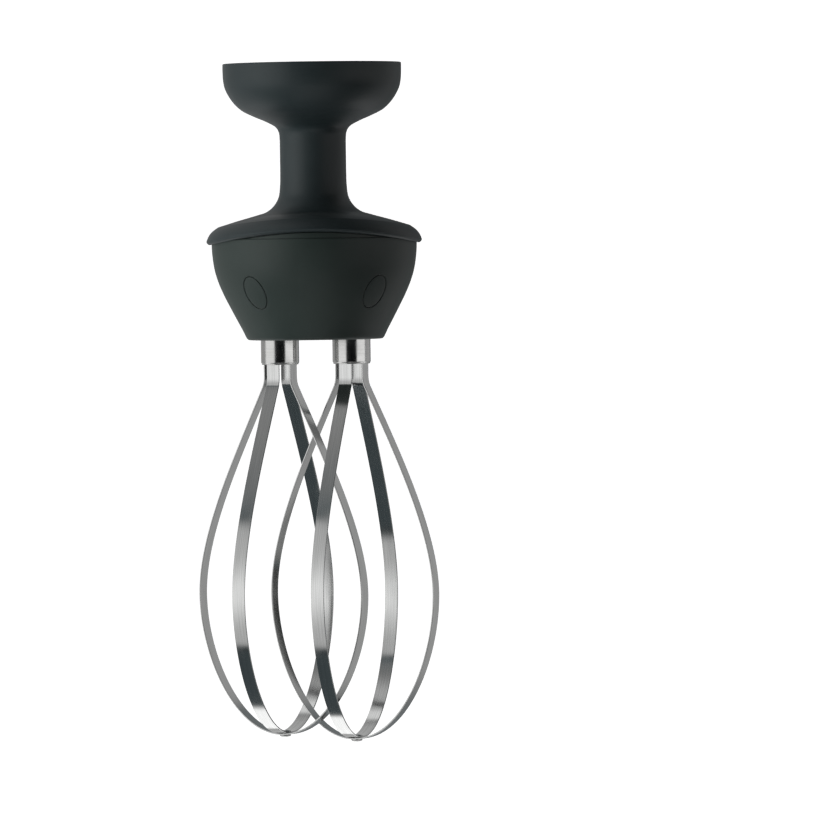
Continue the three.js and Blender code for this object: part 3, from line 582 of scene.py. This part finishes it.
class ButtonFrame:
    """Level axes at one oval button: outwards, sideways and up."""

    def __init__(self, side):
        angle = side * BUTTON_AZIMUTH - math.pi / 2
        self.side = side
        self.out = Vector((math.cos(angle), math.sin(angle), 0))
        self.across = Vector((-math.sin(angle), math.cos(angle), 0))

    def holds(self, column, z):
        """Whether a lathe cell of the bowl's wall lies in the patch round the button."""
        middle = math.atan2(self.out.y, self.out.x) / TAU * HOUSING_SIDES
        gap = (column + 0.5 - middle) % HOUSING_SIDES
        return min(gap, HOUSING_SIDES - gap) < PATCH_COLUMNS and abs(z - BUTTON_Z) < PATCH_HALF

    def flat(self, x, y, z):
        """Sideways and upward distance of a point from the button's centre."""
        return self.across.dot(Vector((x, y, 0))), z - BUTTON_Z

    def on_bowl(self, across, up, depth=0.0, wall=0.0):
        """Point of the bowl's surface, or of its inside, beside the button's centre."""
        z = BUTTON_Z + up
        r = bowl_radius(z) - wall
        out = math.sqrt(max(0.0, r * r - across * across)) - depth
        spot = self.out * out + self.across * across
        return spot.x, spot.y, z

    def oval(self, angle, grow=0.0):
        """Point of the oval in the direction of the angle, seen from outside."""
        a = angle - self.side * BUTTON_TILT
        high, wide = BUTTON_HIGH + grow, BUTTON_WIDE + grow
        radius = 1 / math.sqrt((math.cos(a) / high) ** 2 + (math.sin(a) / wide) ** 2)
        return radius * math.sin(angle), radius * math.cos(angle)


BUTTON_FRAMES = {name: ButtonFrame(side) for name, side in SIDE.items()}


def border_of(quads):
    """Vertices on the border of a patch of quads."""
    uses = Counter(tuple(sorted(edge)) for quad in quads for edge in zip(quad, quad[1:] + quad[:1]))
    return sorted({v for edge, times in uses.items() if times == 1 for v in edge})


def oval_patch(button, verts, quads, wall):
    """Replaces a patch of quads by rings that run from its border to the button's oval hole.
    Returns the faces, the ring at the hole and the ring's angles."""
    spots = {v: button.flat(*verts[v]) for v in border_of(quads)}
    border = sorted(spots, key=lambda v: math.atan2(*spots[v]))
    angles = [math.atan2(*spots[v]) for v in border]
    faces = []
    ring = border
    for share in PATCH_SHARES:
        points = []
        for v, angle in zip(border, angles):
            across, up = button.oval(angle, BUTTON_GROOVE + EDGE_ROUND[0][0])
            across += (spots[v][0] - across) * share
            up += (spots[v][1] - up) * share
            points.append(button.on_bowl(across, up, wall=wall))
        following = add_ring(verts, points)
        faces += bridge(ring, following)
        ring = following
    return faces, ring, angles


def bowl_skin(wall):
    """The bowl's surface of revolution at a depth in its wall, with an oval hole at each button.
    Returns its vertices and faces, its bottom and top rings, and each hole's ring with its angles."""
    low, high = BOWL_LINE[0][1], BOWL_LINE[-1][1]
    rows = round((high - low) / ROW_HEIGHT)
    levels = [low + (high - low) * k / rows for k in range(rows + 1)]
    verts, faces, holes = [], [], {}
    rings = [add_ring(verts, level_ring(bowl_radius(z) - wall, z)) for z in levels]
    patches = {name: [] for name in BUTTON_FRAMES}
    for row in range(rows):
        middle = (levels[row] + levels[row + 1]) / 2
        for column, quad in enumerate(bridge(rings[row], rings[row + 1])):
            owners = [name for name, button in BUTTON_FRAMES.items() if button.holds(column, middle)]
            (patches[owners[0]] if owners else faces).append(quad)
    for name, quads in patches.items():
        patch, ring, angles = oval_patch(BUTTON_FRAMES[name], verts, quads, wall)
        faces += patch
        holes[name] = ring, angles
    return verts, faces, rings[0], rings[-1], holes


def groove(above):
    """Level where the spigot steps in: just under the lip, or at the bowl's step where the lip covers it."""
    return lambda a: max(BOWL_STEP + 0.3, LIP_Z + RIM_LIFT * math.sin(a) ** 2 - 0.3) + above


def spigot_top(below):
    """Level of the spigot's top edge, which follows the arched rim."""
    return lambda a: SPIGOT_TOP - below + lift_at(SPIGOT_TOP) * math.sin(a) ** 2


def spigot_sections():
    """From the bowl's wall over its step and up the spigot, which steps in under the lip, to its top."""
    groove_r = SPIGOT_R - GROOVE_DEPTH
    return [
        (BOWL_R, BOWL_STEP - 0.3), (BOWL_R - 0.03, BOWL_STEP - 0.1), (BOWL_R - 0.12, BOWL_STEP - 0.02),
        (BOWL_R - 0.3, BOWL_STEP), (SPIGOT_R + 0.1, BOWL_STEP), (SPIGOT_R + 0.02, BOWL_STEP + 0.05),
        (SPIGOT_R, BOWL_STEP + 0.2), (SPIGOT_R, groove(-0.08)), (SPIGOT_R - 0.08, groove(0)),
        (groove_r, groove(0)), (groove_r, spigot_top(0.2)), (groove_r - 0.2, spigot_top(0)),
        (SPIGOT_R - SPIGOT_WALL, spigot_top(0)),
    ]


def lower_housing():
    """Hollow bowl with its spigot, foot, floor, button holes, spindle bores and screw pockets."""
    verts, faces, bottom, top, holes = bowl_skin(0.0)
    inner_verts, inner_faces, inner_bottom, inner_top, inner_holes = bowl_skin(BOWL_WALL)
    offset = len(verts)
    verts += inner_verts
    faces += [tuple(v + offset for v in reversed(face)) for face in inner_faces]

    def walk(ring, sections, outside=True):
        """Joins the ring to new ones at each radius and level, and returns the last one."""
        for r, z in sections:
            following = add_ring(verts, level_ring(r, z))
            faces.extend(bridge(ring, following) if outside else bridge(following, ring))
            ring = following
        return ring

    def close(ring, z, outside=True):
        """Closes the ring with a fan to the bowl's axis."""
        pole = len(verts)
        verts.append((0, 0, z))
        for here, after in zip(ring, ring[1:] + ring[:1]):
            faces.append((here, after, pole) if outside else (pole, after, here))

    rim = walk(top, spigot_sections())
    faces += bridge(rim, [v + offset for v in inner_top])
    close(walk(bottom, BOWL_FOOT, outside=False), RECESS_TOP, outside=False)
    close(walk([v + offset for v in inner_bottom], BOWL_FLOOR), FLOOR_TOP)
    for name, (ring, angles) in holes.items():
        button = BUTTON_FRAMES[name]
        for grow, depth in (*EDGE_ROUND[1:], (0.0, HOLE_DEPTH)):
            oval = [button.oval(angle, BUTTON_GROOVE + grow) for angle in angles]
            following = add_ring(verts, [button.on_bowl(*spot, depth) for spot in oval])
            faces += bridge(ring, following)
            ring = following
        inner_ring, inner_angles = inner_holes[name]
        faces += match(ring, angles, [v + offset for v in inner_ring], inner_angles)
    shell = make_object("lower_housing_shell", verts, faces)
    below, above = BOWL_BOTTOM - 4, FLOOR_TOP + 5
    bore = [(0, below), (SPINDLE_BORE_R, below), (SPINDLE_BORE_R, above), (0, above)]
    tools = [stack("bore", bore, 64, centre=(x, 0)) for x in (-SPINDLE_X, SPINDLE_X)]
    pocket = [(0, below), (SCREW_POCKET_R, below), (SCREW_POCKET_R, SCREW_POCKET_TOP), (0, SCREW_POCKET_TOP)]
    for screw in ("housing_screw_front", "housing_screw_rear"):
        low_corner, high_corner = box_mm(screw)
        tools.append(stack("pocket", pocket, 48, centre=((low_corner + high_corner) / 2)[:2]))
    cut(shell, tools)
    return place(crisp(shell, 40), "housing", "charcoal_plastic", ["lower_housing"], BOWL_LOOK)


def release_button(name):
    """Oval key: its face continues the bowl's surface, with a small rounded edge."""
    button = BUTTON_FRAMES[name]
    angles = [TAU * k / KEY_SIDES for k in range(KEY_SIDES)]
    back_r = bowl_radius(BUTTON_Z) - BUTTON_DEPTH
    verts = [button.on_bowl(0, 0)]

    def face_ring(scale, grow, depth):
        oval = [button.oval(angle, grow) for angle in angles]
        return add_ring(verts, [button.on_bowl(x * scale, up * scale, depth) for x, up in oval])

    def back_ring(scale):
        points = []
        for across, up in (button.oval(angle) for angle in angles):
            spot = button.out * back_r + button.across * across * scale
            points.append((spot.x, spot.y, BUTTON_Z + up * scale))
        return add_ring(verts, points)

    rings = [face_ring(scale, -EDGE_ROUND[0][0], 0.0) for scale in (0.15, 0.3, 0.45, 0.6, 0.75, 0.88)]
    rings += [face_ring(1.0, -grow, depth) for grow, depth in (*EDGE_ROUND, (0.0, HOLE_DEPTH - 0.1))]
    rings += [back_ring(scale) for scale in (1.0, 0.5)]
    faces = [(0, after, here) for here, after in zip(rings[0], rings[0][1:] + rings[0][:1])]
    for inner, outer in zip(rings, rings[1:]):
        faces += bridge(inner, outer)
    centre = button.out * back_r
    verts.append((centre.x, centre.y, BUTTON_Z))
    faces += [(len(verts) - 1, here, after) for here, after in zip(rings[-1], rings[-1][1:] + rings[-1][:1])]
    key = make_object(f"{name}_button_key", verts, faces)
    fix_normals(key)
    return place(crisp(key, 40), f"{name}_release", "charcoal_plastic", [f"{name}_release_button"], BOWL_LOOK)


# ------------------------------------------------------------------ whisks

def bezier(p0, p1, p2, p3, steps):
    """Points of a cubic curve, both ends included."""
    line = []
    for k in range(steps + 1):
        t = k / steps
        s = 1 - t
        line.append(p0 * s ** 3 + p1 * (3 * s * s * t) + p2 * (3 * s * t * t) + p3 * t ** 3)
    return line


def rib_line(bottom, wide_r):
    """Centre line of one rib as (radius, z), from inside the ferrule to the whisk's bottom."""
    from_bend, above_wide, below_wide, to_bottom = 28.2, 24.0, 25.2, 20.8  # handles of the two long curves
    bend = Vector((BEND_R, BEND_Z))
    flare = Vector((math.sin(FLARE), -math.cos(FLARE)))
    knee = Vector((BAND_ROOT_R, BEND_Z + 1.9))
    start = Vector((BAND_ROOT_R, BEND_Z + 4.2))
    root = bezier(start, start.lerp(knee, 2 / 3), knee.lerp(bend, 1 / 3), bend, 10)
    wide = Vector((wide_r, WIDE_Z))
    lowest = Vector((0, bottom))
    upper = bezier(bend, bend + flare * from_bend, wide + Vector((0, above_wide)), wide, 60)
    lower = bezier(wide, wide - Vector((0, below_wide)), lowest + Vector((to_bottom, 0)), lowest, 70)
    top = FERRULE_TOP - 1.2
    straight = [Vector((BAND_ROOT_R, top + (start.y - top) * k / 8)) for k in range(8)]
    return straight + root + upper[1:] + lower[1:]


def strip_section():
    """Cross-section of the strip: width along the first axis, thickness along the second."""
    w, t = BAND_WIDTH / 2, BAND_THICK / 2
    return rounded([(x, y, BAND_CORNER) for x, y in ((-w, -t), (w, -t), (w, t), (-w, t))], steps=3)


def whisk_band(name, which, bottom, turn):
    """One strip of a whisk: down one rib, across the rivet and up the rib on the other side."""
    half = rib_line(bottom, WIDE_R[name])
    line = half + [Vector((-p.x, p.y)) for p in reversed(half[:-1])]
    section = strip_section()
    n = len(section)
    verts, faces, uvs = [], [], []
    travelled = 0.0
    direction = Vector((math.cos(turn), math.sin(turn), 0))
    side = Vector((-math.sin(turn), math.cos(turn), 0))
    centre = Vector((SIDE[name] * SPINDLE_X, 0, 0))
    for i, point in enumerate(line):
        before = line[max(0, i - 1)]
        after = line[min(len(line) - 1, i + 1)]
        along = (after - before).normalized()
        normal = Vector((-along.y, along.x))
        travelled += (point - before).length
        for across, thick in section:
            flat = point + normal * thick
            spot = centre + direction * flat.x + side * across + Vector((0, 0, flat.y))
            verts.append(tuple(spot))
            uvs.append((across + thick, travelled))
    for i in range(len(line) - 1):
        for k in range(n):
            j = (k + 1) % n
            faces.append((i * n + k, i * n + j, (i + 1) * n + j, (i + 1) * n + k))
    last = (len(line) - 1) * n
    faces.append(tuple(range(n - 1, -1, -1)))
    faces.append(tuple(last + k for k in range(n)))
    band = make_object(f"{name}_{which}_strip", verts, faces)
    layer = band.data.uv_layers.new(name="strip")
    for loop in band.data.loops:
        layer.data[loop.index].uv = uvs[loop.vertex_index]
    fix_normals(band)
    low, high = bottom - 3, bottom + 3
    hole = [(0, low), (RIVET_HOLE_R, low), (RIVET_HOLE_R, high), (0, high)]
    cut(band, [stack("hole", hole, 32, centre=centre[:2])])
    return place(crisp(band, 40), f"{name}_whisk", "satin_steel", [f"{name}_{which}_band"], BAND_LOOK)


def ferrule(name):
    """Sleeve open below, slightly narrower round its lower edge, with a hole in its top for the stem."""
    inner = FERRULE_R - FERRULE_WALL
    top = BOWL_BOTTOM + 0.1
    outline = rounded([
        (3.4, FERRULE_TOP - 0.8, 0.15), (inner, FERRULE_TOP - 0.8, 0.2), (inner, FERRULE_BOTTOM, 0.1),
        (FERRULE_R - 0.3, FERRULE_BOTTOM, 0.12), (FERRULE_R - 0.28, FERRULE_BOTTOM + 0.45, 0.1),
        (FERRULE_R, FERRULE_BOTTOM + 0.75, 0.2), (FERRULE_R, top, 0.2), (3.4, top, 0.15),
    ])
    sleeve = stack(f"{name}_ferrule_sleeve", outline, 128, closed=True, centre=(SIDE[name] * SPINDLE_X, 0))
    return place(crisp(sleeve, 40), f"{name}_whisk", "satin_steel", [f"{name}_ferrule"])


def whisk_stem(name):
    """Round plug in the ferrule and the hexagonal drive above it."""
    def hexagon(a):
        return HEXAGON_R * math.cos(math.pi / 6) / math.cos(a % (math.pi / 3) - math.pi / 6)

    def smaller(a):
        return hexagon(a) * 0.82

    low = FERRULE_BOTTOM + 0.6
    sections = [
        (0, low), (4.3, low), (4.75, low + 0.05), (5.0, low + 0.25), (PLUG_R, low + 0.6), (PLUG_R, -110),
        (4.9, -109.8), (hexagon, -109.75), (hexagon, -96.8), (smaller, -96), (0, -96),
    ]
    stem = stack(f"{name}_stem_core", sections, 96, centre=(SIDE[name] * SPINDLE_X, 0))
    return place(crisp(stem, 35), f"{name}_whisk", "satin_steel", [f"{name}_whisk_stem"])


def rivet(name, bottom):
    """Domed head below the two bands, a flatter one above them, and the shank between."""
    low = bottom - BAND_THICK / 2 - 0.02
    high = bottom + BAND_THICK * 1.5 + 2 * BAND_GAP
    outline = [(0, low - 0.95)]
    outline += [(RIVET_R * math.sin(a), low - 0.25 - 0.7 * math.cos(a)) for a in (0.3, 0.6, 0.9, 1.2, 1.45)]
    outline += [(RIVET_R + 0.02, low - 0.15), (RIVET_R, low - 0.02), (RIVET_R - 0.1, low)]
    outline += [(RIVET_SHANK_R, low), (RIVET_SHANK_R, high)]
    outline += [(RIVET_R - 0.1, high), (RIVET_R, high + 0.04), (RIVET_R, high + 0.15)]
    outline += [(RIVET_R * math.sin(a), high + 0.15 + 0.55 * math.cos(a)) for a in (1.3, 1.0, 0.7, 0.4)]
    outline += [(0, high + 0.72)]
    head = stack(f"{name}_rivet_head", outline, 48, centre=(SIDE[name] * SPINDLE_X, 0))
    return place(crisp(head, 40), f"{name}_whisk", "satin_steel", [f"{name}_rivet"])


def whisk(name):
    """Two strips that cross at a rivet, the outer one passing below."""
    bottom = WHISK_BOTTOM[name]
    whisk_band(name, "outer", bottom, math.pi - PHASE[name])
    whisk_band(name, "inner", bottom + BAND_THICK + BAND_GAP, math.pi / 2 - PHASE[name])
    ferrule(name)
    whisk_stem(name)
    rivet(name, bottom)


# ------------------------------------------------------------------ inside the cup

def coupling_ring():
    """Ring round the cup's bore with three lugs on its inside."""
    inner, outer = 29.6, 31.5
    lug_r, lug_half_angle = 26.9, 0.21
    third = TAU / 3

    def lug(a):
        offset = (a - math.pi / 2 + third / 2) % third - third / 2
        return lug_r / math.cos(offset) if abs(offset) < lug_half_angle else inner

    sections = [
        (inner, -9.2), (inner, -8.0), (lug, -7.85), (lug, -5.55), (inner, -5.4), (inner, -4.2), (outer, -4.2),
        (outer, -9.2),
    ]
    ring = stack("coupling_lug_ring", sections, HOUSING_SIDES, closed=True)
    return place(crisp(ring, 30), "housing", SLOT_OF["coupling_ring"], ["coupling_ring"])


def drive_coupling():
    """Splined socket: eight teeth stand into its bore."""
    teeth, pitch_r, tooth_half = 8, 4.75, 0.85

    def bore(a):
        return pitch_r + tooth_half * max(-1.0, min(1.0, 2.2 * math.cos(teeth * a)))

    def mouth(a):
        return bore(a) + 0.35

    sections = [
        (2.9, -21.4), (5.2, -21.4), (5.4, -21.25), (5.4, -20.3), (5.6, -20.1), (7.35, -19.3), (7.6, -19.05),
        (7.6, -9.9), (7.5, -9.5), (7.1, -9.1), (6.8, -9.02), (6.2, -9.0), (mouth, -9.05), (bore, -9.5),
        (bore, -17.4), (2.9, -17.6),
    ]
    socket = stack("drive_socket", sections, 192, closed=True)
    return place(crisp(socket, 35), "drive_line", "nylon", ["drive_coupling"])


def shaft_seal():
    """Rubber ring with a channel behind its lip."""
    outline = rounded([
        (2.75, -25.2, 0.1), (4.2, -26, 0.2), (8, -26.2, 0.3), (8, -22.6, 0.4), (6.6, -22.6, 0.3),
        (6.2, -24.6, 0.3), (3.6, -24.2, 0.3), (2.75, -23.4, 0.15),
    ])
    lip = stack("shaft_lip_seal", outline, 96, closed=True)
    return place(crisp(lip, 40), "housing", "seal_rubber", ["shaft_seal"])


# ------------------------------------------------------------------ carried-over CAD nodes

def dress_cad_nodes():
    """Every CAD node that still shows gets its slot's procedural material."""
    for node, obj in frame["nodes"].items():
        obj.data.materials.clear()
        obj.data.materials.append(SLOT_LOOKS[SLOT_OF[node]])


# ------------------------------------------------------------------ stage

def clear_from_below(look):
    """Lets a camera under the floor see the object's underside."""
    geometry = look.node("ShaderNodeNewGeometry")
    clear = look.node("ShaderNodeBsdfTransparent")
    mix = look.node("ShaderNodeMixShader")
    look.link(geometry.outputs["Backfacing"], mix.inputs["Fac"])
    look.link(look.shader.outputs["BSDF"], mix.inputs[1])
    look.link(clear.outputs["BSDF"], mix.inputs[2])
    look.link(mix.outputs["Shader"], look.tree.nodes["Material Output"].inputs["Surface"])


def backdrop():
    """Pale floor that curves up into a pale wall behind and beside the object."""
    floor, flat, bend, wall_top = -300.0, 4000.0, 800.0, 5000.0
    angles = [math.pi / 2 * k / 10 for k in range(1, 11)]
    outline = [(0, floor), (flat * 0.9, floor), (flat, floor)]
    outline += [(flat + bend * math.sin(a), floor + bend * (1 - math.cos(a))) for a in angles]
    outline += [(flat + bend, wall_top)]
    outline.reverse()
    sweep = stack("studio_floor", outline, 96)
    look = Look("pale_floor", (0.92, 0.92, 0.92), 0.9)
    look.shader.inputs["Emission Color"].default_value = (1, 1, 1, 1)
    look.shader.inputs["Emission Strength"].default_value = 0.85
    look.colour(look.ramp(look.noise(8), 0, 1), (0.91, 0.91, 0.91), (0.93, 0.93, 0.93))
    clear_from_below(look)
    sweep.data.materials.append(look.material)
    sweep.visible_glossy = False
    sweep.visible_diffuse = False
    sweep.visible_shadow = False


class Sky:
    """World light made of soft-edged panels, each given by azimuth and elevation in degrees.
    Azimuth 0 is the front, positive to the right. A panel that reaches the back ends past 180 degrees,
    so its soft edge doesn't show there."""

    def __init__(self, base):
        world = bpy.data.worlds.new("studio")
        bpy.context.scene.world = world
        world.use_nodes = True
        self.tree = world.node_tree
        self.tree.nodes.clear()
        where = self.tree.nodes.new("ShaderNodeTexCoord")
        split = self.tree.nodes.new("ShaderNodeSeparateXYZ")
        self.tree.links.new(where.outputs["Generated"], split.inputs["Vector"])
        x, y, z = (split.outputs[axis] for axis in "XYZ")
        radians = self.math("ARCTAN2", x, self.math("MULTIPLY", y, -1.0))
        self.azimuth = self.math("MULTIPLY", radians, 180 / math.pi)
        self.elevation = self.math("MULTIPLY", self.math("ARCSINE", z), 180 / math.pi)
        self.total = self.math("ADD", base, 0.0)

    def math(self, operation, a, b=None):
        node = self.tree.nodes.new("ShaderNodeMath")
        node.operation = operation
        for socket, value in zip(node.inputs, (a, b)):
            if isinstance(value, (int, float)):
                socket.default_value = value
            elif value is not None:
                self.tree.links.new(value, socket)
        return node.outputs["Value"]

    def edge(self, source, start, end):
        """Smooth step from 0 to 1."""
        ramp = self.tree.nodes.new("ShaderNodeMapRange")
        ramp.interpolation_type = "SMOOTHSTEP"
        ramp.inputs["From Min"].default_value = start
        ramp.inputs["From Max"].default_value = end
        self.tree.links.new(source, ramp.inputs["Value"])
        return ramp.outputs["Result"]

    def window(self, source, low, high, soft):
        """1 between low and high, 0 outside, with soft edges."""
        rise = self.edge(source, low - soft, low + soft)
        fall = self.edge(source, high - soft, high + soft)
        return self.math("SUBTRACT", rise, fall)

    def panel(self, azimuth, elevation, soft, radiance, both_sides=False):
        """Adds a panel. With both_sides its mirror image on the left counts as well."""
        angle = self.math("ABSOLUTE", self.azimuth) if both_sides else self.azimuth
        wide = self.window(angle, *azimuth, soft[0])
        high = self.window(self.elevation, *elevation, soft[1])
        light = self.math("MULTIPLY", self.math("MULTIPLY", wide, high), radiance)
        self.total = self.math("ADD", self.total, light)

    def finish(self):
        """The panels light the object, and the camera itself sees plain white behind it.
        What is dark round the object is a little blue-green."""
        nodes, links = self.tree.nodes, self.tree.links
        panels = nodes.new("ShaderNodeBackground")
        plain = nodes.new("ShaderNodeBackground")
        links.new(self.total, panels.inputs["Strength"])
        plain.inputs["Color"].default_value = (1, 1, 1, 1)
        tint = nodes.new("ShaderNodeMix")
        tint.data_type = "RGBA"
        tint.inputs["A"].default_value = (0.81, 1.02, 1.1, 1)
        tint.inputs["B"].default_value = (1, 1, 1, 1)
        links.new(self.edge(self.total, 0.05, 0.3), tint.inputs["Factor"])
        links.new(tint.outputs["Result"], panels.inputs["Color"])
        path = nodes.new("ShaderNodeLightPath")
        mix = nodes.new("ShaderNodeMixShader")
        out = nodes.new("ShaderNodeOutputWorld")
        links.new(path.outputs["Is Camera Ray"], mix.inputs["Fac"])
        links.new(panels.outputs["Background"], mix.inputs[1])
        links.new(plain.outputs["Background"], mix.inputs[2])
        links.new(mix.outputs["Shader"], out.inputs["Surface"])


def studio_light():
    """A bright bank front left, a strip front right, dimmer walls at the sides and back, and a pale floor."""
    sky = Sky(0.004)
    front_left = (-97, -33)
    sky.panel(front_left, (-29, 31), (3, 1.5), 0.62)
    sky.panel(front_left, (-12, 14), (3, 11), 0.47)  # its brighter middle
    sky.panel((32, 90), (-7, 7), (3, 3), 1.2)  # strip
    upper_left = (-130, -38)
    sky.panel(upper_left, (33, 85), (8, 5), 0.24)
    sky.panel(upper_left, (46, 85), (8, 7), 0.34)
    sky.panel((-150, -97), (-38, 75), (6, 6), 0.38)  # left wall
    sky.panel((-250, -150), (-38, 75), (8, 6), 0.51)  # left half of the back
    sky.panel((95, 142), (-38, 50), (6, 6), 0.43)  # right wall
    sky.panel((142, 250), (-38, 50), (6, 6), 0.2)  # right half of the back
    sky.panel((110, 250), (-75, -40), (8, 2), 1.5, both_sides=True)  # floor behind
    sky.panel((-35, 35), (-80, -25), (8, 8), 0.48)  # floor in front
    sky.panel((-105, -25), (-85, -31), (8, 2), 0.07)  # floor to the left, in shade
    sky.finish()


def key_light(name, azimuth, elevation, distance, size, power):
    """Soft light for the matt plastic. Azimuth is measured from the front to the right."""
    data = bpy.data.lights.new(name, "AREA")
    data.shape = "RECTANGLE"
    data.size, data.size_y = size
    data.energy = power
    lamp = bpy.data.objects.new(name, data)
    lamp_aim = Vector((0, 0, -0.06))
    a, e = math.radians(azimuth), math.radians(elevation)
    out = Vector((math.sin(a) * math.cos(e), -math.cos(a) * math.cos(e), math.sin(e)))
    lamp.location = lamp_aim + out * distance
    lamp.rotation_euler = (-out).to_track_quat("-Z", "Y").to_euler()
    lamp.visible_camera = False
    lamp.visible_glossy = False
    bpy.context.scene.collection.objects.link(lamp)


def camera():
    """Long lens, level with the shoulder, looking slightly down at the middle of the picture."""
    distance = 3.2
    view_width = 0.3208
    data = bpy.data.cameras.new("camera")
    data.sensor_width = 36.0
    data.lens = 36.0 * distance / view_width
    eye = Vector((0.0, -distance, -0.066))
    target = Vector((0.0364, 0.0, -0.1362))
    obj = bpy.data.objects.new("camera", data)
    obj.location = eye
    aim = (target - eye).to_track_quat("-Z", "Y")
    roll = Matrix.Rotation(math.radians(-0.8), 4, "Z")
    obj.rotation_euler = (aim.to_matrix().to_4x4() @ roll).to_euler()
    data.clip_start = 0.05
    data.clip_end = 20
    bpy.context.scene.collection.objects.link(obj)
    bpy.context.scene.camera = obj


# ------------------------------------------------------------------ build

camera()
backdrop()
studio_light()
key_light("left_key", -65, -8, 2.2, (1.3, 2.6), 43)
bpy.context.scene.view_settings.view_transform = "Standard"

dress_cad_nodes()
upper_housing()
lower_housing()
shaft_seal()
drive_coupling()
coupling_ring()
for side_name in SIDE:
    release_button(side_name)
    whisk(side_name)
